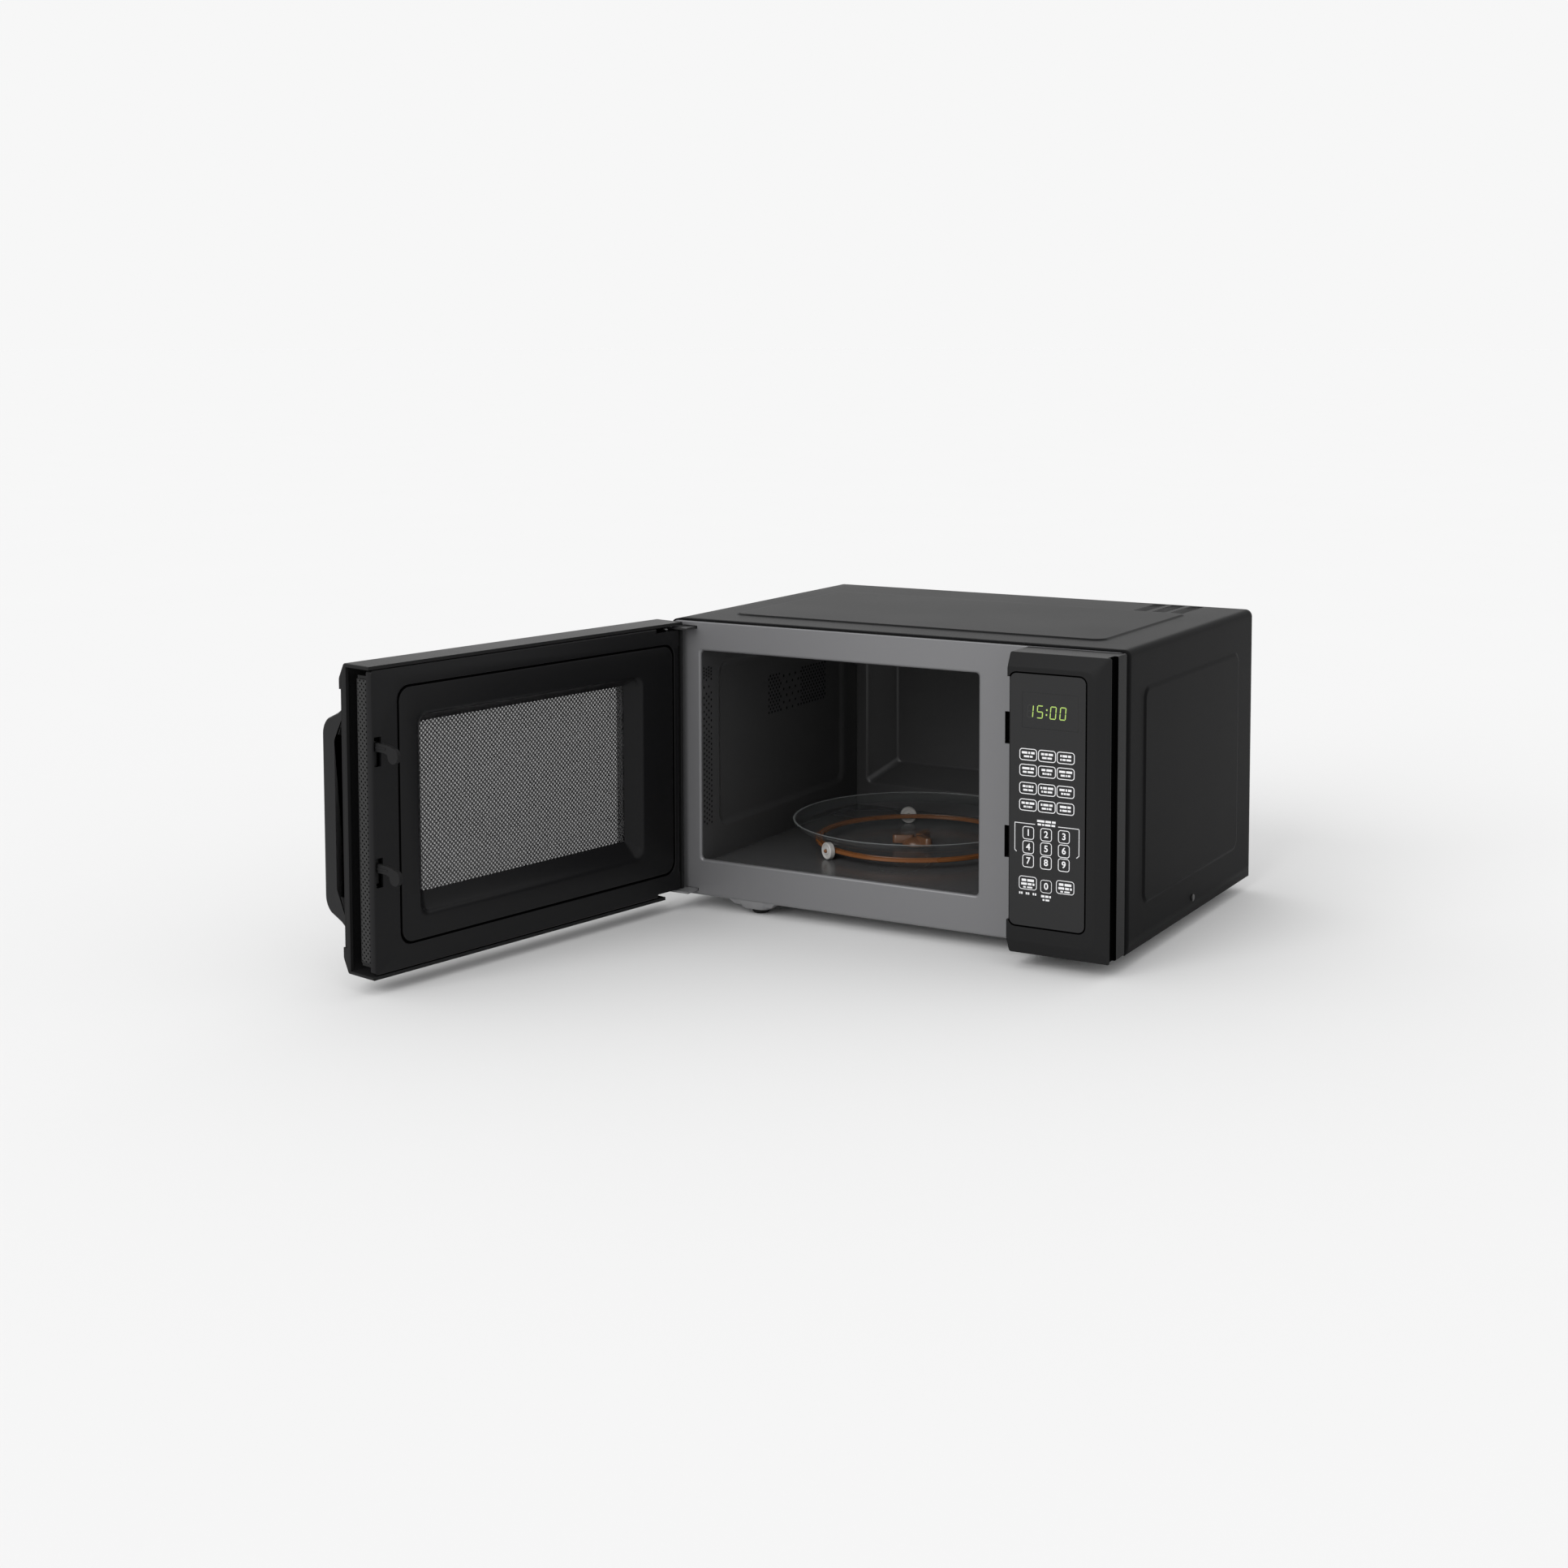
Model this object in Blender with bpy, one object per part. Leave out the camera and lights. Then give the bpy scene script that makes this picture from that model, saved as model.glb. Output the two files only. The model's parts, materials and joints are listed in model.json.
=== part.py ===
"""Countertop microwave oven with its door open, turntable, latch and works, modelled as separate pieces.

All sizes below are in millimetres and become metres when a mesh is made.
X runs to the right, Y runs into the depth and Z runs up. The front frame's face lies in Y = 0.
"""
import math

import bmesh
import bpy
from mathutils import Matrix, Vector

MM = 0.001
GAP = 0.3                     # clearance kept between pieces that touch

# Cabinet
WIDTH = 485.0
HEIGHT = 290.5
COVER_DEPTH = 340.0
BASE_LEVEL = 14.0             # underside of the cover, the feet are below it
SHEET = 1.0
COVER_CORNER = 7.0
HALF = WIDTH / 2
INNER_HALF = HALF - SHEET - GAP

# Cooking cavity
CAVITY_X = (-209.0, 96.0)
CAVITY_Z = (46.0, 260.0)
SILL_Z = 50.9                 # lower edge of the opening in the front frame
CAVITY_BACK = 322.0
CAVITY_WALL = 0.8
POCKET_DEPTH = 22.0

# Turntable
TABLE_X = (CAVITY_X[0] + CAVITY_X[1]) / 2
TABLE_Y = 172.0
TRAY_RADIUS = 127.5
WHEEL_RADIUS = 8.5
WHEEL_TRACK = 108.0           # distance of the wheels from the spindle
WHEEL_WIDTH = 6.0
AXLE_LEVEL = CAVITY_Z[0] + GAP + WHEEL_RADIUS
TRAY_LEVEL = AXLE_LEVEL + WHEEL_RADIUS + GAP
WHEEL_ANGLES = (2.0, 122.0, 242.0)

# Door and control panel share their thickness, their height and their bevels
FRONT = 42.5
FRONT_Z = (14.2, 288.6)
BEVEL_DEPTH = 6.5
BEVEL_EDGE = 12.5
MOULDING_WALL = 3.0
PANEL_X = (145.0, HALF)
DOOR_X = (-HALF, 143.5)
DOOR_BACK = -1.0              # the door's inner face when it is shut
PIN_X = -236.0
PIN_Y = -12.0
PIN_RADIUS = 3.0
OPEN_ANGLE = 100.8            # how far the door stands open at rest, in degrees
SEAL_X = (-236.0, 141.4)
SEAL_Z = (18.3, 285.0)
HOOK_X = (133.5, 137.5)
HOOK_LEVELS = (107.0, 213.0)
HOOK_TIP = 28.0
SLOT_X = (123.0, 141.0)
EDGE_NICK = 1.9               # depth of the finger groove between the door and the panel
HINGE_LEVELS = (19.6, 283.0)  # middle of the lower and the upper hinge plate

# Fan, magnetron and drive of the table
FAN_X = 168.0
FAN_Z = 172.0
FAN_RADIUS = 45.0
ANTENNA = (190.0, 192.0)      # Y and Z of the magnetron's antenna


# ---------------------------------------------------------------- tools

def clear_scene():
    for item in list(bpy.data.objects):
        bpy.data.objects.remove(item, do_unlink=True)


def finish(name, bm):
    """Turn a bmesh in millimetres into an object in metres."""
    bmesh.ops.remove_doubles(bm, verts=bm.verts, dist=0.0001)
    bmesh.ops.recalc_face_normals(bm, faces=bm.faces)
    bmesh.ops.scale(bm, vec=(MM, MM, MM), verts=bm.verts)
    mesh = bpy.data.meshes.new(name)
    bm.to_mesh(mesh)
    bm.free()
    item = bpy.data.objects.new(name, mesh)
    bpy.context.collection.objects.link(item)
    return item


def place(u, v, depth, axis):
    """A point of an outline: u and v in the plane, depth along the axis."""
    if axis == "X":
        return (depth, u, v)
    if axis == "Y":
        return (u, depth, v)
    return (u, v, depth)


def block(name, x, y, z):
    bm = bmesh.new()
    bmesh.ops.create_cube(bm, size=1.0)
    bmesh.ops.scale(bm, vec=(x[1] - x[0], y[1] - y[0], z[1] - z[0]), verts=bm.verts)
    bmesh.ops.translate(bm, vec=((x[0] + x[1]) / 2, (y[0] + y[1]) / 2, (z[0] + z[1]) / 2), verts=bm.verts)
    return finish(name, bm)


def plate(name, outline, axis, start, end, holes=()):
    """An outline with holes, extruded along an axis."""
    bm = bmesh.new()
    for loop in (outline, *holes):
        verts = [bm.verts.new(place(u, v, start, axis)) for u, v in loop]
        for first, second in zip(verts, verts[1:] + verts[:1]):
            bm.edges.new((first, second))
    bmesh.ops.triangle_fill(bm, use_beauty=True, use_dissolve=False, edges=bm.edges)
    grown = bmesh.ops.extrude_face_region(bm, geom=bm.faces[:])
    moved = [part for part in grown["geom"] if isinstance(part, bmesh.types.BMVert)]
    bmesh.ops.translate(bm, vec=place(0, 0, end - start, axis), verts=moved)
    return finish(name, bm)


def loft(name, rings):
    """A closed solid through rings with equal numbers of points."""
    bm = bmesh.new()
    rows = [[bm.verts.new(point) for point in ring] for ring in rings]
    for lower, upper in zip(rows, rows[1:]):
        count = len(lower)
        for i in range(count):
            bm.faces.new((lower[i], lower[(i + 1) % count], upper[(i + 1) % count], upper[i]))
    bm.faces.new(rows[0])
    bm.faces.new(rows[-1])
    return finish(name, bm)


def turned(name, profile, centre, axis="Z", steps=32):
    """A profile of (radius, height) points spun round an axis through the centre."""
    bm = bmesh.new()
    verts = [bm.verts.new((radius, 0, height)) for radius, height in profile]
    edges = [bm.edges.new(pair) for pair in zip(verts, verts[1:])]
    if profile[0][0] > 0:
        edges.append(bm.edges.new((verts[-1], verts[0])))
    bmesh.ops.spin(bm, geom=verts + edges, cent=(0, 0, 0), axis=(0, 0, 1), angle=math.tau,
                   steps=steps, use_merge=True)
    turn = {"X": Matrix.Rotation(math.pi / 2, 3, "Y"), "Y": Matrix.Rotation(-math.pi / 2, 3, "X"),
            "Z": Matrix.Identity(3)}[axis]
    bmesh.ops.rotate(bm, cent=(0, 0, 0), matrix=turn, verts=bm.verts)
    bmesh.ops.translate(bm, vec=centre, verts=bm.verts)
    item = finish(name, bm)
    smooth(item)
    return item


def rod(name, radius, start, end, axis, steps=24):
    """A cylinder from one point to a level along an axis."""
    index = "XYZ".index(axis)
    item = turned(name, [(0, 0), (radius, 0), (radius, end - start[index]), (0, end - start[index])],
                  start, axis, steps)
    return item


def smooth(item, angle=35.0):
    item.data.shade_smooth()
    item.data.set_sharp_from_angle(angle=math.radians(angle))


def rectangle(x, y):
    return [(x[0], y[0]), (x[1], y[0]), (x[1], y[1]), (x[0], y[1])]


def rounded(x, y, radius, steps=4):
    """A rectangle with round corners."""
    points = []
    corners = ((x[1], y[1], 0), (x[0], y[1], 90), (x[0], y[0], 180), (x[1], y[0], 270))
    for corner_x, corner_y, start in corners:
        centre_x = corner_x - math.copysign(radius, corner_x - (x[0] + x[1]) / 2)
        centre_y = corner_y - math.copysign(radius, corner_y - (y[0] + y[1]) / 2)
        for step in range(steps + 1):
            angle = math.radians(start + 90 * step / steps)
            points.append((centre_x + radius * math.cos(angle), centre_y + radius * math.sin(angle)))
    return points


def arched(low):
    """A panel that fits inside the cover: square below, with round upper corners."""
    full = rounded((-INNER_HALF, INNER_HALF), (low, HEIGHT - SHEET - GAP), COVER_CORNER - SHEET, 4)
    return [point for point in full if point[1] > low + COVER_CORNER] + [(-INNER_HALF, low), (INNER_HALF, low)]


def circle(x, y, radius, steps=24):
    return [(x + radius * math.cos(math.tau * i / steps), y + radius * math.sin(math.tau * i / steps))
            for i in range(steps)]


def ring_at(y, x, z):
    """A rectangle of points in a plane of constant Y."""
    return [(x[0], y, z[0]), (x[1], y, z[0]), (x[1], y, z[1]), (x[0], y, z[1])]


def combine(body, operation, *tools):
    """Join tools to a body, or cut them out of it, and keep the plain result."""
    for tool in tools:
        step = body.modifiers.new(operation.title(), "BOOLEAN")
        step.operation = operation
        step.solver = "EXACT"
        step.object = tool
    bpy.context.view_layer.update()
    seen = body.evaluated_get(bpy.context.evaluated_depsgraph_get())
    body_mesh = bpy.data.meshes.new_from_object(seen)
    body.modifiers.clear()
    body.data = body_mesh
    for tool in tools:
        bpy.data.objects.remove(tool, do_unlink=True)
    return body


def join(body, *tools):
    return combine(body, "UNION", *tools)


def cut(body, *tools):
    return combine(body, "DIFFERENCE", *tools)


def soften(item, width, segments=2):
    """Round the edges of a plastic piece."""
    edge = item.modifiers.new("Bevel", "BEVEL")
    edge.width = width * MM
    edge.segments = segments
    edge.limit_method = "ANGLE"
    edge.angle_limit = math.radians(40)
    return item


def coat(item, colour, roughness, metallic=0.0, clear=0.0):
    """Give a piece its own Principled material."""
    material = bpy.data.materials.new(item.name)
    material.use_nodes = True
    shader = material.node_tree.nodes["Principled BSDF"]
    shader.inputs["Base Color"].default_value = (*colour, 1.0)
    shader.inputs["Roughness"].default_value = roughness
    shader.inputs["Metallic"].default_value = metallic
    shader.inputs["Transmission Weight"].default_value = clear
    item.data.materials.clear()
    item.data.materials.append(material)
    return item


def axis_empty(name, at, parent=None):
    """An empty on a joint's axis; its place is given in the cabinet with the door shut."""
    item = bpy.data.objects.new(name, None)
    bpy.context.collection.objects.link(item)
    origin = Vector(at) * MM
    if parent:
        item.parent = parent
        origin -= Vector(parent["shut_origin"])
    item.location = origin
    item["shut_origin"] = tuple(Vector(at) * MM)
    return item


def hang(item, parent):
    """Let a piece that was modelled in place ride on an empty."""
    item.data.transform(Matrix.Translation(-Vector(parent["shut_origin"])))
    item.parent = parent
    return item


# ---------------------------------------------------------------- cabinet

BLACK_PAINT = dict(colour=(0.018, 0.018, 0.02), roughness=0.35, metallic=0.0)
BLACK_PLASTIC = dict(colour=(0.012, 0.012, 0.013), roughness=0.38)
GREY_PAINT = dict(colour=(0.16, 0.16, 0.165), roughness=0.4, metallic=0.2)
ZINC = dict(colour=(0.55, 0.56, 0.57), roughness=0.35, metallic=1.0)
COPPER = dict(colour=(0.6, 0.25, 0.12), roughness=0.4, metallic=1.0)
NYLON = dict(colour=(0.75, 0.74, 0.7), roughness=0.45)
BOARD = dict(colour=(0.03, 0.12, 0.05), roughness=0.5)


def build_cover():
    """Wrap of painted sheet: two sides and the top, with round upper edges."""
    def half_arch(reach, top, radius, side):
        points = []
        for step in range(7):
            angle = math.radians(15 * step)
            points.append((side * (reach - radius + radius * math.cos(angle)),
                           top - radius + radius * math.sin(angle)))
        return [(side * reach, BASE_LEVEL)] + points

    outer = half_arch(HALF, HEIGHT, COVER_CORNER, 1) + half_arch(HALF, HEIGHT, COVER_CORNER, -1)[::-1]
    inner = (half_arch(HALF - SHEET, HEIGHT - SHEET, COVER_CORNER - SHEET, 1)
             + half_arch(HALF - SHEET, HEIGHT - SHEET, COVER_CORNER - SHEET, -1)[::-1])
    cover = plate("outer_cover", outer + inner[::-1], "Y", 0, COVER_DEPTH)
    slots = [block("slot", (140, 192), (276 + 11 * i, 280 + 11 * i), (HEIGHT - 3, HEIGHT + 3)) for i in range(5)]
    screw_hole = rod("hole", 2.0, (HALF - 3, 174, 28.2), HALF + 3, "X", 16)
    cut(cover, screw_hole, *slots)
    smooth(cover, 30)
    coat(cover, **BLACK_PAINT)


def foot_places():
    return {"front_left": (-152, 20), "front_right": (184, 17), "rear_left": (-184, 300), "rear_right": (184, 300)}


PAD_DROP = 5.0                # how far the pressed foot pads stand below the base plate


def build_base():
    slots = [rectangle((-150 + 14 * i, -145 + 14 * i), (190, 260)) for i in range(14)]
    base = plate("base_plate", rectangle((-INNER_HALF, INNER_HALF), (SHEET + GAP, BACK_PLANE - GAP)), "Z",
                 BASE_LEVEL + GAP, BASE_LEVEL + GAP + SHEET, slots)
    top = BASE_LEVEL + GAP + 0.5
    pads = []
    for x, y in foot_places().values():
        front = max(y - 21, 1.6)
        pads.append(loft("pad", [
            [(x - 21, front + 3, top - PAD_DROP - 0.5), (x + 21, front + 3, top - PAD_DROP - 0.5),
             (x + 21, y + 17, top - PAD_DROP - 0.5), (x - 21, y + 17, top - PAD_DROP - 0.5)],
            [(x - 27, front, top), (x + 27, front, top), (x + 27, y + 23, top), (x - 27, y + 23, top)]]))
    join(base, *pads)
    coat(base, **GREY_PAINT)


def build_feet():
    height = BASE_LEVEL + GAP - PAD_DROP - GAP
    for place_name, (x, y) in foot_places().items():
        foot = turned(f"foot_{place_name}", [(0, 0), (7.0, 0), (8.5, 1.5), (9.0, height), (0, height)],
                      (x, y, 0), steps=24)
        coat(foot, (0.01, 0.01, 0.01), 0.8)


BUMP_X = (-188.0, 74.0)
BUMP_Z = (80.0, 242.0)
BUMP_RISE = 8.0
BACK_PLANE = 338.7


def build_back():
    """Rear panel with a pressed bump over the pocket of the cavity, an air grille and the cord's hole."""
    slope = 11.0

    def bump(name, start, rise, grow):
        return loft(name, [
            ring_at(start, (BUMP_X[0] - grow, BUMP_X[1] + grow), (BUMP_Z[0] - grow, BUMP_Z[1] + grow)),
            ring_at(start + rise, (BUMP_X[0] + slope - grow, BUMP_X[1] - slope + grow),
                    (BUMP_Z[0] + slope - grow, BUMP_Z[1] - slope + grow))])

    back = plate("back_plate", arched(BASE_LEVEL + 1.8), "Y", BACK_PLANE, BACK_PLANE + SHEET)
    join(back, bump("bump", BACK_PLANE + 0.5, BUMP_RISE + 0.5, 0.6))
    cut(back, bump("dent", BACK_PLANE - 0.001, BUMP_RISE, 0))
    grille = [block("slot", (124, 212), (330, 345), (128 + 11 * i, 132 + 11 * i)) for i in range(9)]
    holes = [rod("hole", 2.0, (x, 330, z), 345, "Y", 12) for x, z in REAR_SCREWS]
    holes.append(rod("hole", 8.0, (GLAND[0], 330, GLAND[1]), 345, "Y", 24))
    cut(back, *grille, *holes)
    coat(back, **GREY_PAINT)


REAR_SCREWS = ((-225.0, 276.0), (225.0, 276.0), (-225.0, 32.0))
GLAND = (215.0, 46.0)


def screw(name, head_radius, head_height, shank_radius, shank_length, centre, axis, look):
    """A pan-head screw with its head on the positive side of the centre."""
    profile = [(0, -shank_length), (shank_radius, -shank_length), (shank_radius, 0), (head_radius, 0),
               (head_radius, head_height * 0.5), (head_radius * 0.6, head_height), (0, head_height)]
    return coat(turned(name, profile, centre, axis, 16), **look)


def build_cover_screws():
    for number, (x, z) in enumerate(REAR_SCREWS, 1):
        screw(f"cover_screw_{number}", 4.0, 2.0, 1.6, 7, (x, BACK_PLANE + SHEET + GAP, z), "Y", ZINC)
    screw("cover_screw_side", 3.4, 1.4, 1.6, 6, (HALF + GAP, 174, 28.2), "X", BLACK_PAINT)


def build_gland():
    """Bushing where the mains cord would enter; the cord itself is left out."""
    gland = turned("cord_gland", [(4.0, -8), (7.0, -8), (7.0, 0), (11.0, 0), (10.0, 5), (4.0, 5)],
                   (GLAND[0], BACK_PLANE + SHEET + GAP, GLAND[1]), "Y", 24)
    coat(gland, (0.015, 0.015, 0.015), 0.6)


def slot_levels():
    """Vertical reach of the two latch slots."""
    return [(level - 16, level + 14) for level in HOOK_LEVELS]


def build_front_frame():
    holes = [rounded(CAVITY_X, (SILL_Z, CAVITY_Z[1]), 5.0), rectangle((160, 230), (60, 250))]
    holes += [rectangle(SLOT_X, z) for z in slot_levels()]
    holes += [rectangle((-240.0, -212.0), (level - 1.6, level + 1.6)) for level in HINGE_LEVELS]
    frame = plate("front_frame", arched(16.6), "Y", 0, SHEET, holes)
    coat(frame, colour=(0.21, 0.21, 0.215), roughness=0.38, metallic=0.3)


def cavity_shape(name, grow, front):
    """The cavity's outline as a solid; grow is the wall, or nothing for the inside."""
    x = (CAVITY_X[0] - grow, CAVITY_X[1] + grow)
    z = (CAVITY_Z[0] - grow, CAVITY_Z[1] + grow)
    body = block(name, x, (front, CAVITY_BACK + grow), z)
    pocket = loft("pocket", [
        ring_at(CAVITY_BACK - 3, (-196 - grow, 82 + grow), (72 - grow, 250 + grow)),
        ring_at(CAVITY_BACK + grow, (-196 - grow, 82 + grow), (72 - grow, 250 + grow)),
        ring_at(CAVITY_BACK + POCKET_DEPTH + grow, (-170 - grow, 56 + grow), (93 - grow, 229 + grow))])
    left = CAVITY_X[0] - grow
    bulge = loft("bulge", [
        [(left + 2, 36, 76), (left + 2, 292, 76), (left + 2, 292, 246), (left + 2, 36, 246)],
        [(left, 36, 76), (left, 292, 76), (left, 292, 246), (left, 36, 246)],
        [(left - 3, 42, 82), (left - 3, 286, 82), (left - 3, 286, 240), (left - 3, 42, 240)]])
    return join(body, pocket, bulge)


FEED_Y = (112.0, 156.0)       # the opening through which the waves enter
FEED_Z = (168.0, 216.0)


def build_cavity():
    cavity = cavity_shape("cavity", CAVITY_WALL, SHEET + GAP)
    inside = cavity_shape("inside", 0, -5)
    spindle = rod("spindle", 8.0, (TABLE_X, TABLE_Y, CAVITY_Z[0] - 4), CAVITY_Z[0] + 4, "Z")
    feed = block("feed", (CAVITY_X[1] - 4, CAVITY_X[1] + 4), FEED_Y, FEED_Z)
    cut(cavity, inside, spindle, feed)
    coat(cavity, (0.035, 0.035, 0.037), 0.25, 0.1)


def build_waveguide():
    """Flat duct between the magnetron's antenna and the feed opening, and the mica sheet over the opening."""
    left = CAVITY_X[1] + CAVITY_WALL + GAP
    y = (FEED_Y[0] - 4, ANTENNA[0] + 22)
    z = (FEED_Z[0] - 4, FEED_Z[1] + 4)
    duct = block("waveguide", (left, left + 34), y, z)
    hollow = block("hollow", (left - 5, left + 33), (y[0] + 1, y[1] - 1), (z[0] + 1, z[1] - 1))
    hole = rod("hole", 12.0, (left + 20, *ANTENNA), left + 50, "X")
    cut(duct, hollow, hole)
    coat(duct, **ZINC)
    mica = block("waveguide_cover", (CAVITY_X[1] - 0.8, CAVITY_X[1] - GAP), (FEED_Y[0] - 10, FEED_Y[1] + 10),
                 (FEED_Z[0] - 10, FEED_Z[1] + 10))
    coat(mica, (0.35, 0.32, 0.27), 0.6)
    return left + 34


# ---------------------------------------------------------------- works behind the panel

def build_magnetron(duct_face):
    """Yoke with cooling fins, filter box and the antenna that reaches into the duct."""
    y, z = ANTENNA
    start = duct_face + GAP
    yoke = block("magnetron", (start, start + 62), (y - 42, y + 36), (z - 34, z + 34))
    air = block("air", (start + 2, start + 60), (y - 60, y + 60), (z - 31, z + 31))
    cut(yoke, air)
    barrel = rod("barrel", 16.0, (start + 1, y, z), start + 61, "X")
    fins = [block("fin", (start + 12 + 8 * i, start + 13 + 8 * i), (y - 40, y + 34), (z - 32, z + 32)) for i in range(5)]
    magnets = [rod("magnet", 26.0, (start + 1 + 50 * i, y, z), start + 11 + 50 * i, "X") for i in range(2)]
    box = block("box", (start + 61, start + 84), (y - 24, y + 24), (z - 20, z + 20))
    antenna = rod("antenna", 9.0, (start - 22, y, z), start + 2, "X")
    join(yoke, barrel, *fins, *magnets, box, antenna)
    coat(yoke, **ZINC)


TRANSFORMER_X = (134.0, 206.0)
TRANSFORMER_Y = (58.0, 124.0)
FLOOR_LEVEL = BASE_LEVEL + GAP + SHEET + GAP


def build_transformer():
    x, y = TRANSFORMER_X, TRANSFORMER_Y
    core = block("high_voltage_transformer", x, y, (FLOOR_LEVEL + 1, FLOOR_LEVEL + 64))
    foot = block("foot", (x[0] - 8, x[1] + 8), y, (FLOOR_LEVEL, FLOOR_LEVEL + 2))
    coil = plate("coil", rounded((x[0] + 14, x[1] - 14), (FLOOR_LEVEL + 12, FLOOR_LEVEL + 52), 7), "Y", y[0] - 14, y[1] + 14)
    join(core, foot, coil)
    coat(core, (0.12, 0.07, 0.05), 0.6, 0.4)


def build_capacitor():
    outline = rounded((132, 186), (148, 181), 16, 6)
    can = plate("high_voltage_capacitor", outline, "Z", FLOOR_LEVEL, FLOOR_LEVEL + 92)
    posts = [block("post", (x, x + 6), (160, 169), (FLOOR_LEVEL + 91, FLOOR_LEVEL + 102)) for x in (146, 168)]
    join(can, *posts)
    coat(can, **ZINC)


def build_diode():
    body = rod("high_voltage_diode", 4.0, (196, 166, FLOOR_LEVEL + 6), 220, "X", 16)
    leads = [rod("lead", 0.9, (190, 166, FLOOR_LEVEL + 6), 197, "X", 8),
             block("tag", (219, 230), (161, 171), (FLOOR_LEVEL + 5.4, FLOOR_LEVEL + 6.6))]
    join(body, *leads)
    coat(body, (0.02, 0.02, 0.02), 0.5)


SHROUD_Y = 262.0


def build_fan():
    """Shroud with its ring, the fan on its own axis and the motor behind it."""
    shroud = plate("fan_shroud", rectangle((101, 238), (112, 236)), "Y", SHROUD_Y, SHROUD_Y + 2,
                   [circle(FAN_X, FAN_Z, FAN_RADIUS + 3, 32)])
    ring = plate("ring", circle(FAN_X, FAN_Z, FAN_RADIUS + 6, 32), "Y", SHROUD_Y + 1, SHROUD_Y + 28,
                 [circle(FAN_X, FAN_Z, FAN_RADIUS + 3, 32)])
    join(shroud, ring)
    coat(shroud, (0.5, 0.5, 0.48), 0.5)

    axis = axis_empty("fan_axis", (FAN_X, SHROUD_Y + 14, FAN_Z))
    hub = rod("fan_blade", 11.0, (FAN_X, SHROUD_Y + 5, FAN_Z), SHROUD_Y + 24, "Y")
    blades = []
    for number in range(5):
        blade = block("blade", (9, FAN_RADIUS - 1), (-0.8, 0.8), (-13, 13))
        pitch = Matrix.Rotation(math.radians(50), 4, "X")
        turn = Matrix.Rotation(math.tau * number / 5, 4, "Y")
        blade.data.transform(Matrix.Translation(Vector((FAN_X, SHROUD_Y + 14.5, FAN_Z)) * MM) @ turn @ pitch)
        blades.append(blade)
    shaft = rod("shaft", 2.0, (FAN_X, SHROUD_Y + 20, FAN_Z), SHROUD_Y + 38, "Y", 12)
    join(hub, *blades, shaft)
    hang(coat(hub, (0.6, 0.6, 0.58), 0.5), axis)

    bar_start = SHROUD_Y + 28 + GAP
    motor = block("fan_motor", (FAN_X - 56, FAN_X + 56), (bar_start, bar_start + 2), (FAN_Z - 8, FAN_Z + 8))
    core = block("core", (FAN_X - 26, FAN_X + 26), (bar_start + 1, bar_start + 22), (FAN_Z - 22, FAN_Z + 30))
    coil = rod("coil", 15.0, (FAN_X - 18, bar_start + 12, FAN_Z - 34), FAN_X + 18, "X")
    join(motor, core, coil)
    cut(motor, rod("bore", 3.0, (FAN_X, bar_start - 5, FAN_Z), bar_start + 16, "Y", 12))
    coat(motor, (0.3, 0.29, 0.28), 0.45, 0.7)


def build_lamp():
    left = CAVITY_X[1] + CAVITY_WALL + GAP + 2
    lamp = turned("oven_lamp", [(0, 0), (8, 3), (10, 9), (9, 18), (6, 24), (7, 24), (7, 38), (0, 38)],
                  (left, 247, 200), "X", 20)
    coat(lamp, (0.8, 0.8, 0.75), 0.1)


def build_thermal_cutout():
    left = CAVITY_X[1] + CAVITY_WALL + GAP
    body = turned("thermal_cutout", [(0, 0), (11, 0), (11, 1.5), (8, 1.5), (8, 11), (0, 11)], (left, 60, 150), "X", 20)
    coat(body, (0.1, 0.09, 0.08), 0.5)


def build_filter_board():
    x, y = (188.0, 234.0), (272.0, 332.0)
    level = FLOOR_LEVEL + 5
    board = block("noise_filter_board", x, y, (level, level + 1.6))
    legs = [block("leg", (a, a + 5), (b, b + 5), (FLOOR_LEVEL, level + 1)) for a in (x[0], x[1] - 5) for b in (y[0], y[1] - 5)]
    fuse = rod("fuse", 3.5, (194, 284, level + 5), 226, "X", 12)
    clips = [block("clip", (a, a + 3), (280, 288), (level + 1, level + 9)) for a in (196, 220)]
    choke = block("choke", (194, 212), (296, 322), (level + 1, level + 22))
    cap = block("cap", (217, 228), (298, 320), (level + 1, level + 16))
    join(board, *legs, fuse, *clips, choke, cap)
    coat(board, **BOARD)


# ---------------------------------------------------------------- latch board behind the front frame

BOARD_BACK = 38.0
SWITCHES = {"primary": 211.0, "secondary": 112.5, "monitor": 100.5}


def build_latch_board():
    """Plastic box behind the slots; the hooks enter its two pockets and meet the switches."""
    start = SHEET + GAP
    body = block("latch_board", (118, 144), (start, BOARD_BACK), (78, 240))
    pockets = [block("pocket", (120.5, 142), (-5, BOARD_BACK - 2), z) for z in slot_levels()]
    holes = [rod("hole", 2.3, (sum(HOOK_X) / 2, 30, z), BOARD_BACK + 5, "Y", 12) for z in SWITCHES.values()]
    cut(body, *pockets, *holes)
    coat(body, **BLACK_PLASTIC)


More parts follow.
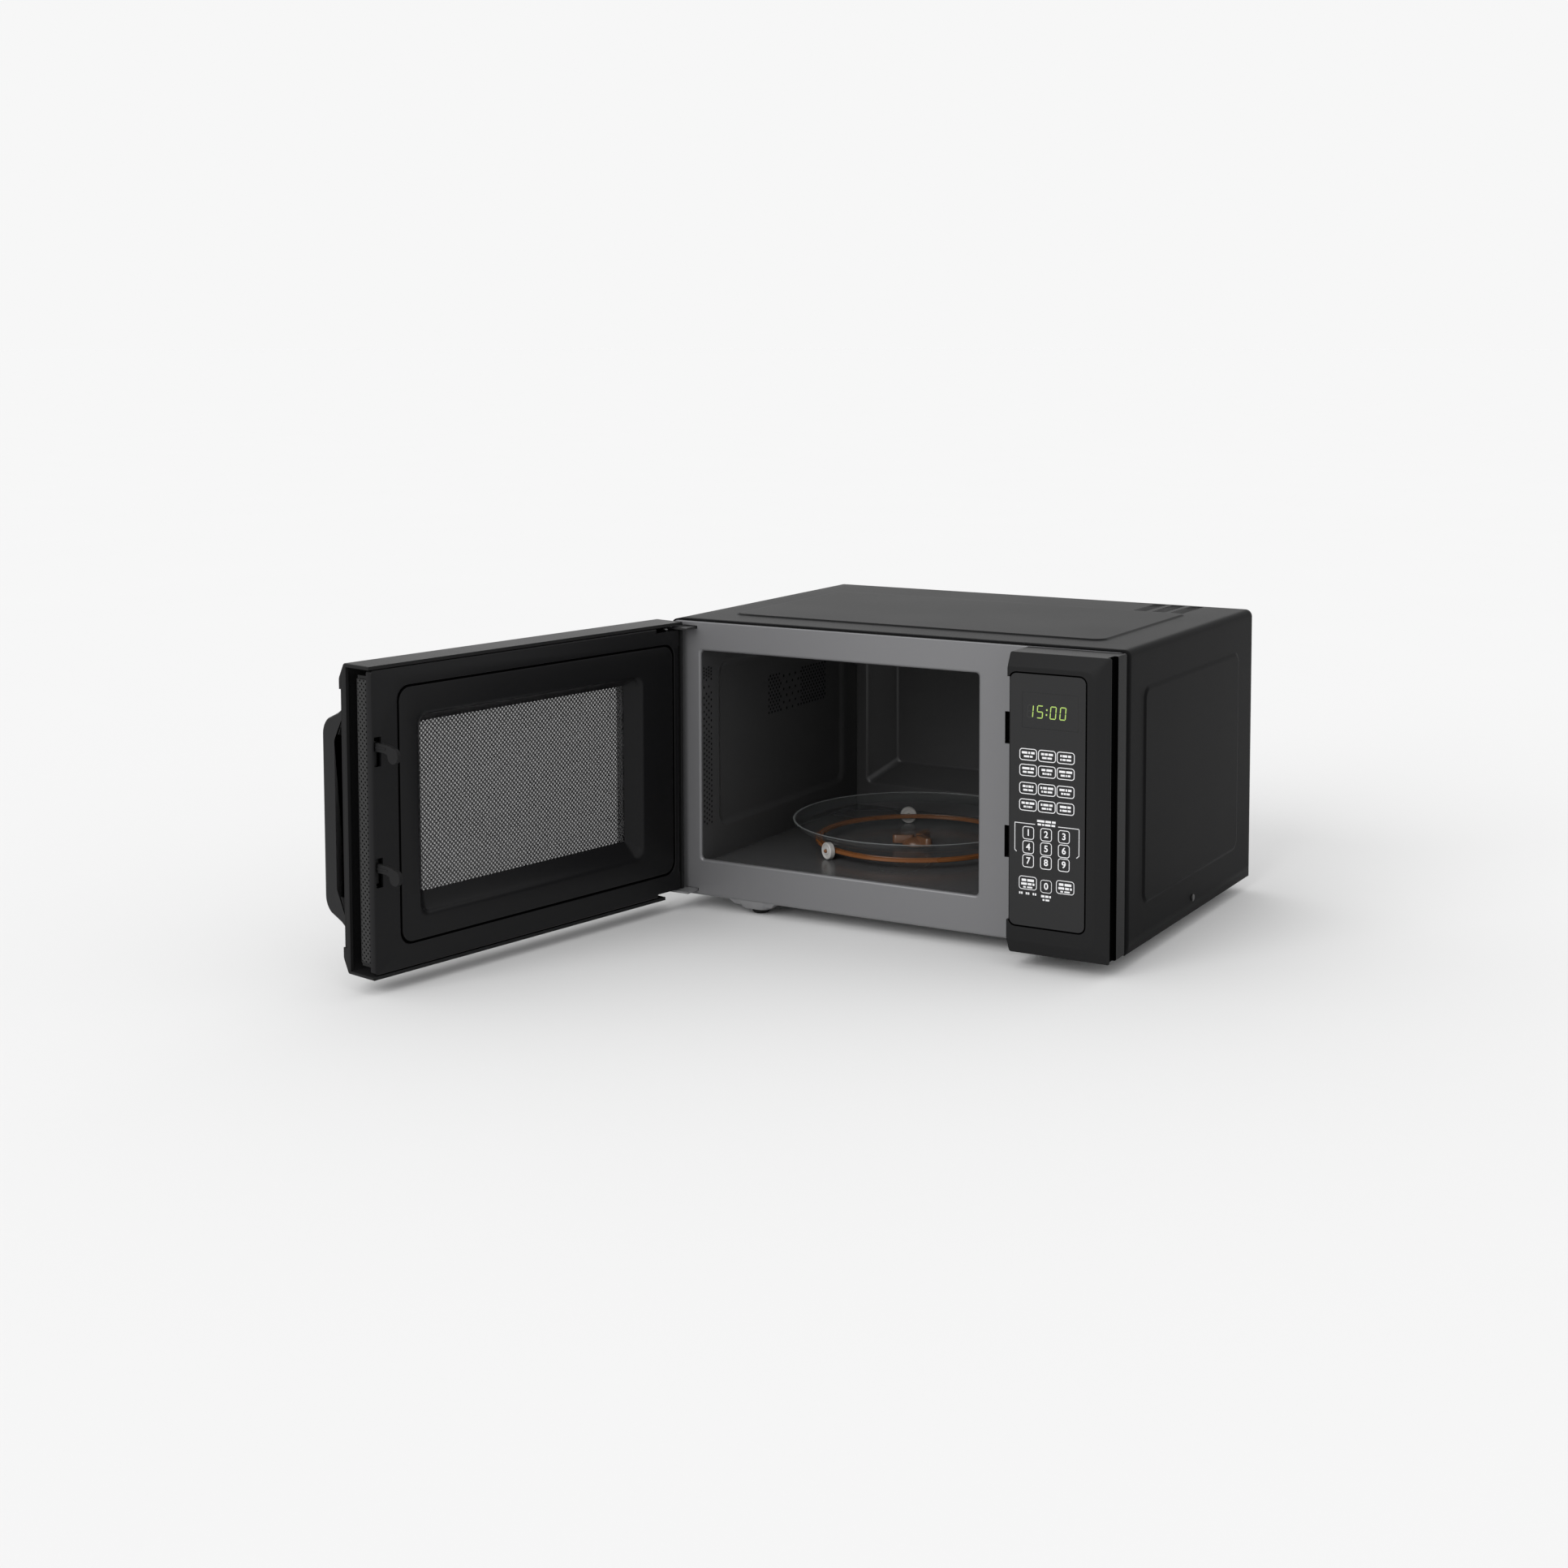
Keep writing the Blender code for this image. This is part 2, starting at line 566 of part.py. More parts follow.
def build_switches():
    """Three door switches, each with a plunger that slides on its own axis."""
    middle = sum(HOOK_X) / 2
    front = BOARD_BACK + GAP
    for role, level in SWITCHES.items():
        body = block(f"{role}_switch", (middle - 12, middle + 16), (front, front + 16), (level - 5, level + 5))
        tabs = [block("tab", (middle - 8 + 9 * i, middle - 5 + 9 * i), (front + 15, front + 24), (level - 0.4, level + 0.4))
                for i in range(3)]
        join(body, *tabs)
        cut(body, rod("bore", 2.3, (middle, front - 5, level), front + 6, "Y", 12))
        coat(body, (0.25, 0.02, 0.02), 0.5)
        axis = axis_empty(f"{role}_plunger_axis", (middle, front, level))
        plunger = rod(f"{role}_plunger", 1.7, (middle, HOOK_TIP + 0.6, level), front + 4, "Y", 12)
        hang(coat(plunger, **NYLON), axis)


# ---------------------------------------------------------------- turntable

def build_turntable_motor():
    top = CAVITY_Z[0] - CAVITY_WALL - GAP
    motor = turned("turntable_motor", [(0, top - 17), (24.5, top - 17), (24.5, top), (0, top)], (TABLE_X, TABLE_Y, 0))
    ears = block("ears", (TABLE_X - 33, TABLE_X + 33), (TABLE_Y - 6, TABLE_Y + 6), (top - 1.5, top))
    join(motor, ears)
    cut(motor, rod("bore", 4.2, (TABLE_X, TABLE_Y, top - 10), top + 5, "Z"))
    coat(motor, **ZINC)


def lug_outline(reach, waist, width):
    """A three-lobed star."""
    points = []
    for number in range(3):
        base = math.tau * number / 3 + math.radians(90)
        for offset, radius in ((-width, reach), (width, reach), (math.radians(60), waist)):
            points.append((TABLE_X + radius * math.cos(base + offset), TABLE_Y + radius * math.sin(base + offset)))
    return points


def build_turntable():
    """Drive coupler, roller ring with three wheels, and the glass tray on top."""
    floor = CAVITY_Z[0]
    spindle = axis_empty("turntable_axis", (TABLE_X, TABLE_Y, AXLE_LEVEL))
    coupler = turned("turntable_coupler", [(0, floor - 9), (3.6, floor - 9), (3.6, floor + 1), (15, floor + 1.2),
                                          (15, floor + 5), (11, floor + 9), (0, floor + 10)], (TABLE_X, TABLE_Y, 0))
    join(coupler, plate("lugs", lug_outline(25, 11, math.radians(11)), "Z", floor + 4, floor + 12))
    hang(coat(coupler, (0.28, 0.1, 0.035), 0.4), spindle)

    tray_axis = axis_empty("tray_axis", (TABLE_X, TABLE_Y, TRAY_LEVEL), spindle)
    rim = TRAY_RADIUS
    tray = turned("glass_tray", [(0, 0), (rim - 16, 0), (rim - 4, 5), (rim, 11), (rim - 1.5, 12.5), (rim - 3.5, 11.5),
                                 (rim - 7, 7.5), (rim - 17.5, 4), (0, 4)], (TABLE_X, TABLE_Y, TRAY_LEVEL), steps=48)
    hang(coat(tray, (0.9, 0.95, 0.93), 0.03, clear=1.0), tray_axis)

    ring_axis = axis_empty("roller_ring_axis", (TABLE_X, TABLE_Y, AXLE_LEVEL))
    inner, outer = WHEEL_TRACK - 11, WHEEL_TRACK - WHEEL_WIDTH / 2 - 0.6
    ring = turned("roller_ring", [(inner, -2.5), (outer, -2.5), (outer, 2.5), (inner, 2.5)],
                  (TABLE_X, TABLE_Y, AXLE_LEVEL), steps=48)
    stubs = []
    for angle in WHEEL_ANGLES:
        stub = rod("stub", 1.8, (outer - 2, 0, 0), WHEEL_TRACK + WHEEL_WIDTH / 2 + 2, "X", 12)
        stub.data.transform(wheel_frame(angle))
        stubs.append(stub)
    join(ring, *stubs)
    hang(coat(ring, (0.3, 0.11, 0.035), 0.35), ring_axis)

    for number, angle in enumerate(WHEEL_ANGLES, 1):
        turn = math.radians(angle)
        centre = (TABLE_X + WHEEL_TRACK * math.cos(turn), TABLE_Y + WHEEL_TRACK * math.sin(turn), AXLE_LEVEL)
        wheel_axis = axis_empty(f"wheel_axis_{number}", centre, ring_axis)
        half = WHEEL_WIDTH / 2
        wheel = turned(f"roller_wheel_{number}", [(2.2, -half), (WHEEL_RADIUS - 1, -half), (WHEEL_RADIUS, -half + 1),
                                                  (WHEEL_RADIUS, half - 1), (WHEEL_RADIUS - 1, half), (2.2, half)],
                       (WHEEL_TRACK, 0, 0), "X", 24)
        wheel.data.transform(wheel_frame(angle))
        hang(coat(wheel, **NYLON), wheel_axis)


def wheel_frame(angle):
    """From the spoke along X through the spindle to a spoke at an angle, in metres."""
    return Matrix.Translation(Vector((TABLE_X, TABLE_Y, AXLE_LEVEL)) * MM) @ Matrix.Rotation(math.radians(angle), 4, "Z")


# ---------------------------------------------------------------- control panel

KEYPAD_X = (147.9, 221.0)
KEYPAD_Z = (41.6, 270.5)
LENS_X = (160.0, 214.0)
LENS_Z = (222.0, 254.0)


def bevelled_front(name, x, edge_left, edge_right, back):
    """Moulding whose front edges slope back: the outline of the door and of the panel."""
    low, high = FRONT_Z
    return loft(name, [
        ring_at(back, x, FRONT_Z),
        ring_at(-FRONT + BEVEL_DEPTH, x, FRONT_Z),
        ring_at(-FRONT, (x[0] + edge_left, x[1] - edge_right), (low + BEVEL_EDGE, high - BEVEL_EDGE))])


def hollow_front(x, edge_left, edge_right, front):
    """The room inside such a moulding, with its front wall at a depth and its slopes within the bevels."""
    inner_x = (x[0] + MOULDING_WALL, x[1] - MOULDING_WALL)
    low, high = FRONT_Z[0] + MOULDING_WALL, FRONT_Z[1] - MOULDING_WALL
    shoulder = -FRONT + BEVEL_DEPTH + MOULDING_WALL
    share = (shoulder - front) / BEVEL_DEPTH
    return loft("hollow", [
        ring_at(5, inner_x, (low, high)),
        ring_at(shoulder, inner_x, (low, high)),
        ring_at(front, (inner_x[0] + edge_left * share, inner_x[1] - edge_right * share),
                (low + BEVEL_EDGE * share, high - BEVEL_EDGE * share))])


def build_panel():
    panel = bevelled_front("control_panel", PANEL_X, 0.0, BEVEL_EDGE, -GAP)
    hollow = hollow_front(PANEL_X, 0.0, BEVEL_EDGE, -38.0)
    recess = plate("recess", rounded((KEYPAD_X[0] - GAP, KEYPAD_X[1] + GAP), (KEYPAD_Z[0] - GAP, KEYPAD_Z[1] + GAP), 3),
                   "Y", -FRONT - 2, -FRONT + 1.2)
    lens_hole = block("lens_hole", (LENS_X[0] - GAP, LENS_X[1] + GAP), (-60, -30), (LENS_Z[0] - GAP, LENS_Z[1] + GAP))
    nick = block("nick", (PANEL_X[0] - 3, PANEL_X[0] + EDGE_NICK), (-60, -FRONT + 5), (45.3, 266.8))
    groove = block("groove", (HALF - 1.5, HALF + 3), (-31, -29.4), (0, 300))
    cut(panel, hollow, recess, lens_hole, nick, groove)
    coat(panel, **BLACK_PLASTIC)

    membrane = plate("keypad_membrane", rounded(KEYPAD_X, KEYPAD_Z, 2.7), "Y", -FRONT + 0.1, -FRONT + 0.9,
                     [rectangle((LENS_X[0] - GAP, LENS_X[1] + GAP), (LENS_Z[0] - GAP, LENS_Z[1] + GAP))])
    coat(membrane, (0.01, 0.01, 0.011), 0.3)
    lens = block("display_window", LENS_X, (-FRONT + 0.2, -38.3), LENS_Z)
    coat(lens, (0.02, 0.02, 0.02), 0.08, clear=0.8)


def build_electronics():
    board = block("control_board", (152, 236), (-27.6, -26), (56, 262))
    posts = [rod("post", 4.0, (x, -26.5, z), -3, "Y", 12) for x in (157, 231) for z in (61, 257)]
    relays = [block("relay", (160 + 24 * i, 178 + 24 * i), (-26.5, -10), (80, 104)) for i in range(3)]
    transformer = block("transformer", (168, 206), (-26.5, -4), (120, 152))
    buzzer = rod("buzzer", 8.0, (190, -26.5, 180), -16, "Y", 20)
    join(board, *posts, *relays, transformer, buzzer)
    coat(board, **BOARD)
    display = block("led_display", (163, 211), (-37.7, -28), (226, 250))
    coat(display, (0.02, 0.02, 0.018), 0.2)


# ---------------------------------------------------------------- hinges and door

def build_hinges():
    """Two plates fixed behind the frame; each carries a pin that enters the door."""
    for place_name, level, sign in (("lower", HINGE_LEVELS[0], 1), ("upper", HINGE_LEVELS[1], -1)):
        arm = block(f"{place_name}_hinge", (-239.5, -213.5), (-18, 4.3), (level - 1, level + 1))
        tab_z = sorted((level - sign, level + sign * 30))
        tab = block("tab", (-239.5, -213.5), (SHEET + GAP, 4.3), tab_z)
        pin_end = level + sign * 11
        pin = rod("pin", PIN_RADIUS, (PIN_X, PIN_Y, min(level, pin_end)), max(level, pin_end), "Z", 20)
        join(arm, tab, pin)
        colour = GREY_PAINT if sign > 0 else BLACK_PLASTIC
        coat(arm, **colour)


GLASS_X = (-196.0, 94.0)
GLASS_Z = (56.0, 247.0)
WINDOW_X = (-172.0, 79.0)
WINDOW_Z = (79.0, 232.0)
SCREWS_Z = (63.0, 235.0)
HANDLE_X = (109.0, 135.0)


def build_door_shell(door):
    """Outer moulding, open at the back and on the free side behind its front wall."""
    shell = bevelled_front("door_shell", DOOR_X, BEVEL_EDGE, 0.0, -2.0)
    wall = MOULDING_WALL
    hollow = hollow_front(DOOR_X, BEVEL_EDGE, 0.0, -38.5)
    free_side = block("free_side", (DOOR_X[1] - wall - 2, DOOR_X[1] + 5), (-33, 5), (FRONT_Z[0] + wall, FRONT_Z[1] - wall))
    nick = block("nick", (DOOR_X[1] - EDGE_NICK, DOOR_X[1] + 3), (-60, -FRONT + 5), (45.3, 266.8))
    seat = block("seat", (GLASS_X[0] - GAP, GLASS_X[1] + GAP), (-60, -FRONT + 2.5), (GLASS_Z[0] - GAP, GLASS_Z[1] + GAP))
    window = block("window", (GLASS_X[0] + 8, GLASS_X[1] - 8), (-60, -30), (GLASS_Z[0] + 8, GLASS_Z[1] - 8))
    screw_holes = [rod("hole", 2.5, (sum(HANDLE_X) / 2, -60, z), -30, "Y", 12) for z in SCREWS_Z]
    cut(shell, hollow, free_side, nick, seat, window, *screw_holes)
    bosses = [block("boss", (DOOR_X[0] + 1, -228), (-21, -4), z)
              for z in ((HINGE_LEVELS[0] + 2, HINGE_LEVELS[0] + 18), (HINGE_LEVELS[1] - 18, HINGE_LEVELS[1] - 2))]
    join(shell, *bosses)
    bore = rod("bore", PIN_RADIUS + GAP, (PIN_X, PIN_Y, 0), 284, "Z", 20)
    middle = block("middle", (PIN_X - 5, PIN_X + 5), (PIN_Y - 5, PIN_Y + 5), (42, 262))
    cut(bore, middle)
    upper_notch = block("notch", (DOOR_X[0] - 3, -205), (-26, 5), (HINGE_LEVELS[1] - 2, FRONT_Z[1] - wall))
    lower_notch = block("notch", (DOOR_X[0] - 3, -216), (-26, 5), (0, HINGE_LEVELS[0] + 2))
    cut(shell, bore, upper_notch, lower_notch)
    hang(coat(shell, **BLACK_PLASTIC), door)

    glass = block("door_glass", GLASS_X, (-FRONT + 0.2, -FRONT + 2.2), GLASS_Z)
    hang(coat(glass, (0.02, 0.02, 0.022), 0.05, clear=0.7), door)


PAN_X = (-203.0, 139.4)
PAN_Z = (24.0, 279.5)
PAN_Y = (-21.5, -8.2)
SCREEN_Y = (-15.6, -14.8)


def build_door_panel(door):
    """Metal inner panel: the choke walls all round and the screen across."""
    walls = plate("door_panel", rectangle(PAN_X, PAN_Z), "Y", PAN_Y[0], PAN_Y[1],
                  [rectangle((PAN_X[0] + 0.8, PAN_X[1] - 0.8), (PAN_Z[0] + 0.8, PAN_Z[1] - 0.8))])
    screen = block("screen", (PAN_X[0] + 0.4, PAN_X[1] - 0.4), SCREEN_Y, (PAN_Z[0] + 0.4, PAN_Z[1] - 0.4))
    join(walls, screen)
    hang(coat(walls, (0.1, 0.1, 0.1), 0.5, 0.6), door)


def build_choke_cover(door):
    """Visible inner face of the door, with the sloping recess round the window."""
    skin = block("choke_cover", SEAL_X, (DOOR_BACK - 2.2, DOOR_BACK), SEAL_Z)
    edge = plate("edge", rectangle(SEAL_X, SEAL_Z), "Y", DOOR_BACK - 6.8, DOOR_BACK - 1,
                 [rectangle((SEAL_X[0] + 1.6, SEAL_X[1] - 1.6), (SEAL_Z[0] + 1.6, SEAL_Z[1] - 1.6))])

    def funnel(name, start, end, grow):
        return loft(name, [ring_at(start, (-186 - grow, 91 + grow), (61 - grow, 242 + grow)),
                           ring_at(end, (WINDOW_X[0] - grow, WINDOW_X[1] + grow), (WINDOW_Z[0] - grow, WINDOW_Z[1] + grow))])

    join(skin, edge, funnel("funnel", DOOR_BACK - 1, -13.9, 1.6))
    slots = [block("slot", (131.8, 139.2), (-8, 5), (level - 12, level + 14)) for level in HOOK_LEVELS]
    notches = [block("notch", (SEAL_X[0] - 3, -205), (-30, 5), z)
               for z in ((0, HINGE_LEVELS[0] + 2.2), (HINGE_LEVELS[1] - 2.2, 300))]
    boss_room = block("room", (SEAL_X[0] - 3, -227), (-30, -3.2), (0, 300))
    cut(skin, funnel("void", DOOR_BACK + 0.5, -14.2, 0), *slots, *notches, boss_room)
    hang(coat(skin, colour=(0.014, 0.014, 0.015), roughness=0.4), door)

    film = block("window_film", (WINDOW_X[0] - 4, WINDOW_X[1] + 4), (-14.5, -14.2), (WINDOW_Z[0] - 4, WINDOW_Z[1] + 4))
    hang(coat(film, (0.6, 0.6, 0.6), 0.1, clear=0.9), door)


def hook_outline(level):
    """Side view of one hook: an arm that reaches back and a round nose at its tip."""
    nose = 7.0
    centre = HOOK_TIP - nose
    points = [(-6.0, level + 1.5)]
    for step in range(9):
        angle = math.radians(168 + 29 * step)
        points.append((centre + nose * math.cos(angle), level + nose * math.sin(angle)))
    points.append((centre - 2, level + 9))
    points.append((-6.0, level + 9))
    return points


def build_latch(door):
    """Double hook that slides up and is drawn down by its spring."""
    axis = axis_empty("latch_axis", (sum(HOOK_X) / 2, -8, sum(HOOK_LEVELS) / 2), door)
    bar = block("latch_hook", HOOK_X, (-11.5, -5), (HOOK_LEVELS[0] - 9, HOOK_LEVELS[1] + 10))
    hooks = [plate("hook", hook_outline(level), "X", HOOK_X[0] + 0.2, HOOK_X[1] - 0.2) for level in HOOK_LEVELS]
    join(bar, *hooks)
    hang(coat(bar, (0.02, 0.02, 0.02), 0.35), axis)

    turns, radius, wire, foot = 7, 1.9, 0.35, 62.0
    top = HOOK_LEVELS[0] - 9 - GAP - wire
    line = bpy.data.curves.new("latch_spring", "CURVE")
    line.dimensions = "3D"
    line.bevel_depth = wire * MM
    line.bevel_resolution = 1
    line.use_fill_caps = True
    steps = turns * 10
    spline = line.splines.new("POLY")
    spline.points.add(steps)
    for i, point in enumerate(spline.points):
        angle = math.tau * i / 10
        at = Vector((sum(HOOK_X) / 2 + radius * math.cos(angle), -8 + radius * math.sin(angle), foot + (top - foot) * i / steps))
        point.co = (*(at * MM - Vector(door["shut_origin"])), 1.0)
    spring = bpy.data.objects.new("latch_spring", line)
    bpy.context.collection.objects.link(spring)
    spring.parent = door
    coat(spring, **ZINC)


def build_handle(door):
    """Upright bridge handle with a finger gap, and the two screws that hold it."""
    start = -FRONT - GAP
    reach = start - 36
    grip = start - 17
    outline = [(start, 46), (start, 80), (grip + 5, 80), (grip, 86), (grip, 215), (grip + 5, 221), (start, 221),
               (start, 251), (start - 8, 247), (reach + 8, 232), (reach, 220), (reach, 77), (reach + 8, 65), (start - 8, 50)]
    handle = plate("door_handle", outline, "X", *HANDLE_X)
    middle = sum(HANDLE_X) / 2
    cut(handle, *[rod("hole", 2.3, (middle, start - 14, z), start + 5, "Y", 12) for z in SCREWS_Z])
    hang(coat(soften(handle, 2.0), **BLACK_PLASTIC), door)
    for place_name, z in zip(("lower", "upper"), SCREWS_Z):
        hang(screw(f"handle_screw_{place_name}", 4.2, 2.2, 1.9, 15, (middle, -38.5 + GAP, z), "Y", ZINC), door)


def build_door():
    door = axis_empty("door_axis", (PIN_X, PIN_Y, 0))
    build_door_shell(door)
    build_door_panel(door)
    build_choke_cover(door)
    build_latch(door)
    build_handle(door)
    door.rotation_euler.z = -math.radians(OPEN_ANGLE)


def stand_on_origin():
    """Move everything so that the middle of the object's box, at floor level, is the origin."""
    bpy.context.view_layer.update()
    graph = bpy.context.evaluated_depsgraph_get()
    points = []
    for item in bpy.data.objects:
        if item.type == "MESH":
            seen = item.evaluated_get(graph)
            points += [seen.matrix_world @ vertex.co for vertex in seen.data.vertices]
    middle_x = (min(point.x for point in points) + max(point.x for point in points)) / 2
    middle_y = (min(point.y for point in points) + max(point.y for point in points)) / 2
    for item in bpy.data.objects:
        if item.parent is None:
            item.location -= Vector((middle_x, middle_y, 0))


def main():
    clear_scene()
    build_cover()
    build_base()
    build_feet()
    build_back()
    build_cover_screws()
    build_gland()
    build_front_frame()
    build_cavity()
    build_magnetron(build_waveguide())
    build_transformer()
    build_capacitor()
    build_diode()
    build_fan()
    build_lamp()
    build_thermal_cutout()
    build_filter_board()
    build_latch_board()
    build_switches()
    build_turntable_motor()
    build_turntable()
    build_panel()
    build_electronics()
    build_hinges()
    build_door()
    stand_on_origin()


main()
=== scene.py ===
"""Looks of a countertop microwave oven with its door open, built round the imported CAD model.

Sizes are in millimetres in the oven's own frame: X = 0 in the middle of the cabinet, Y = 0 in the face of
the front frame, Z = 0 under the feet. A piece of the door is given where it lies with the door shut.
"""
import json
import math

import bmesh
import bpy
from mathutils import Matrix, Vector


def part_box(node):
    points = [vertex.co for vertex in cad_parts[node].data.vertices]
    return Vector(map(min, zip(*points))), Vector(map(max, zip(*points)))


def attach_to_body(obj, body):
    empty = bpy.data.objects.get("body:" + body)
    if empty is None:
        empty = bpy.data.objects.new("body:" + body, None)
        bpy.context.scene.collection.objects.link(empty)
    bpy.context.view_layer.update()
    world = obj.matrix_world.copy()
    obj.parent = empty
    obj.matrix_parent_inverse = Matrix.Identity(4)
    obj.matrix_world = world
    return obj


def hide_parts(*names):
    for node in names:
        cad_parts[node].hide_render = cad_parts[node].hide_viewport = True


MM = 0.001

# Cabinet
HALF = 242.5
TOP = 290.5
BASE = 14.0
DEPTH = 340.0
CORNER = 7.0
OPENING_X = (-209.0, 96.0)
OPENING_Z = (50.9, 260.0)
CAVITY_FLOOR = 46.0
CAVITY_BACK = 322.0
SLOT_X = (123.0, 141.0)
HOOK_LEVELS = (107.0, 213.0)
HINGE_LEVELS = (19.6, 283.0)

# Door and control panel
FRONT = -42.5
SHOULDER = -36.0              # where the bevels of the door and the panel start
FRONT_Z = (14.2, 288.6)
BEVEL = 12.5
DOOR_NOTCH_Z = (37.2, 265.6)     # where the two edges beside the gap are set back
PANEL_NOTCH_Z = (45.3, 266.8)
PANEL_X = (145.0, 242.5)
DOOR_X = (-242.5, 143.5)
PIN = (-236.0, -12.0)
KEYPAD_X = (147.9, 221.0)
KEYPAD_Z = (41.6, 270.5)
LENS_X = (160.0, 214.0)
LENS_Z = (222.0, 254.0)
CHANNEL = (-19.5, -35.0, 2.6)    # back edge, front edge and depth of the channel in the panel's side
MOULD_WALL = 3.0
MOULD_CORNER = 1.6
FRONT_CORNER = 11.0           # by how much the front corners are rounder on a bevelled side

# Turntable
TABLE = (-56.5, 172.0)
TRAY_RADIUS = 127.5
TRAY_LEVEL = 63.6
AXLE_LEVEL = 54.8
WHEEL_TRACK = 108.0
WHEEL_RADIUS = 8.5
WHEEL_ANGLES = (2.0, 122.0, 242.0)


# ---------------------------------------------------------------- placing and making pieces

def find_frames():
    """From millimetres in the oven's frame, or in the shut door, to metres in the model's frame."""
    low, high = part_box("front_frame")
    cabinet = Matrix.Translation(((low.x + high.x) / 2, low.y, 0)) @ Matrix.Diagonal((MM, MM, MM, 1))
    hinge = next(joint for joint in frame["record"]["behaviour"]["joints"] if joint["name"] == "door_hinge")
    pin = Vector(hinge["pos_m"])
    swing = Matrix.Rotation(-math.radians(hinge["range_deg"][1]), 4, "Z")
    door = Matrix.Translation(pin) @ swing @ Matrix.Translation(-pin) @ cabinet
    return cabinet, door


def new_object(name, bm, where, angle=30.0, outward=True):
    bmesh.ops.remove_doubles(bm, verts=bm.verts, dist=0.001)
    if outward:
        bmesh.ops.recalc_face_normals(bm, faces=bm.faces)
    bmesh.ops.transform(bm, matrix=where, verts=bm.verts)
    mesh = bpy.data.meshes.new(name)
    bm.to_mesh(mesh)
    bm.free()
    item = bpy.data.objects.new(name, mesh)
    bpy.context.collection.objects.link(item)
    mesh.shade_smooth()
    mesh.set_sharp_from_angle(angle=math.radians(angle))
    return item


def attach(item, body, look, nodes=()):
    """Give a piece its material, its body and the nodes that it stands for."""
    if look:
        item.data.materials.clear()
        item.data.materials.append(look)
    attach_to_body(item, body)
    if nodes:
        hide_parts(*nodes)
    return item


def paint(item, where, look, accent, chosen):
    """Give chosen faces a second material. The test gets the centre of a face, in millimetres."""
    item.data.materials.clear()
    item.data.materials.append(look)
    item.data.materials.append(accent)
    inverse = where.inverted()
    for face in item.data.polygons:
        face.material_index = 1 if chosen(inverse @ face.center) else 0


def within(x, z, span_x, span_z):
    return span_x[0] < x < span_x[1] and span_z[0] < z < span_z[1]


def bake(item):
    """Apply the modifiers of a piece."""
    bpy.context.view_layer.update()
    seen = item.evaluated_get(bpy.context.evaluated_depsgraph_get())
    mesh = bpy.data.meshes.new_from_object(seen)
    item.modifiers.clear()
    item.data = mesh
    return item


def carve(item, *tools, operation="DIFFERENCE"):
    for tool in tools:
        step = item.modifiers.new("Carve", "BOOLEAN")
        step.operation = operation
        step.solver = "EXACT"
        step.object = tool
    bake(item)
    for tool in tools:
        bpy.data.objects.remove(tool, do_unlink=True)
    item.data.shade_smooth()
    item.data.set_sharp_from_angle(angle=math.radians(30))
    return item


def soften(item, width, segments=2, angle=35.0):
    edge = item.modifiers.new("Bevel", "BEVEL")
    edge.width = width * MM
    edge.segments = segments
    edge.limit_method = "ANGLE"
    edge.angle_limit = math.radians(angle)
    edge.harden_normals = True
    return item


def keep_flat(item):
    """Let the large faces decide the shading beside a rounded edge."""
    step = item.modifiers.new("Flat", "WEIGHTED_NORMAL")
    step.keep_sharp = True
    step.weight = 100
    return item


def thicken(item, thickness):
    """Give a sheet its thickness, behind the side that its normals point to."""
    wall = item.modifiers.new("Wall", "SOLIDIFY")
    wall.thickness = thickness * MM
    wall.offset = -1.0
    return item


# ---------------------------------------------------------------- shapes

def rectangle(x, z):
    return [(x[0], z[0]), (x[1], z[0]), (x[1], z[1]), (x[0], z[1])]


def grown(span, by):
    return (span[0] - by, span[1] + by)


def between(span, other, share):
    return [a + (b - a) * share for a, b in zip(span, other)]


def rounded(x, z, radius, steps=6):
    """A rectangle with round corners, always the same number of points for the same steps. A pair of radii
    stands for the left and the right side."""
    left, right = radius if isinstance(radius, tuple) else (radius, radius)
    corners = ((right, x[1], z[1], 0), (left, x[0], z[1], 90), (left, x[0], z[0], 180),
               (right, x[1], z[0], 270))
    points = []
    for side, corner_x, corner_z, start in corners:
        centre_x = corner_x - math.copysign(side, corner_x - (x[0] + x[1]) / 2)
        centre_z = corner_z - math.copysign(side, corner_z - (z[0] + z[1]) / 2)
        for step in range(steps + 1):
            turn = math.radians(start + 90 * step / steps)
            points.append((centre_x + side * math.cos(turn), centre_z + side * math.sin(turn)))
    return points


def circle(x, y, radius, steps=32):
    return [(x + radius * math.cos(math.tau * i / steps), y + radius * math.sin(math.tau * i / steps))
            for i in range(steps)]


def at_y(outline, y):
    return [(x, y, z) for x, z in outline]


def at_x(outline, x):
    return [(x, y, z) for y, z in outline]


def at_z(outline, z):
    return [(x, y, z) for x, y in outline]


def ring(y, x, z, radius, steps=6):
    return at_y(rounded(x, z, radius, steps), y)


def loft(bm, rings, start=False, end=False):
    """Faces between rings of equal numbers of points, with a face over the first and the last if wanted."""
    rows = [[bm.verts.new(point) for point in points] for points in rings]
    for lower, upper in zip(rows, rows[1:]):
        for i in range(len(lower)):
            j = (i + 1) % len(lower)
            bm.faces.new((lower[i], lower[j], upper[j], upper[i]))
    if start:
        bm.faces.new(rows[0][::-1])
    if end:
        bm.faces.new(rows[-1])


def fill(bm, loops):
    """A flat face with an outer loop and holes."""
    edges = []
    for loop in loops:
        verts = [bm.verts.new(point) for point in loop]
        edges += [bm.edges.new(pair) for pair in zip(verts, verts[1:] + verts[:1])]
    bmesh.ops.triangle_fill(bm, use_beauty=True, use_dissolve=False, edges=edges)


def box(bm, x, y, z):
    loft(bm, [at_z(rectangle(x, y), z[0]), at_z(rectangle(x, y), z[1])], True, True)


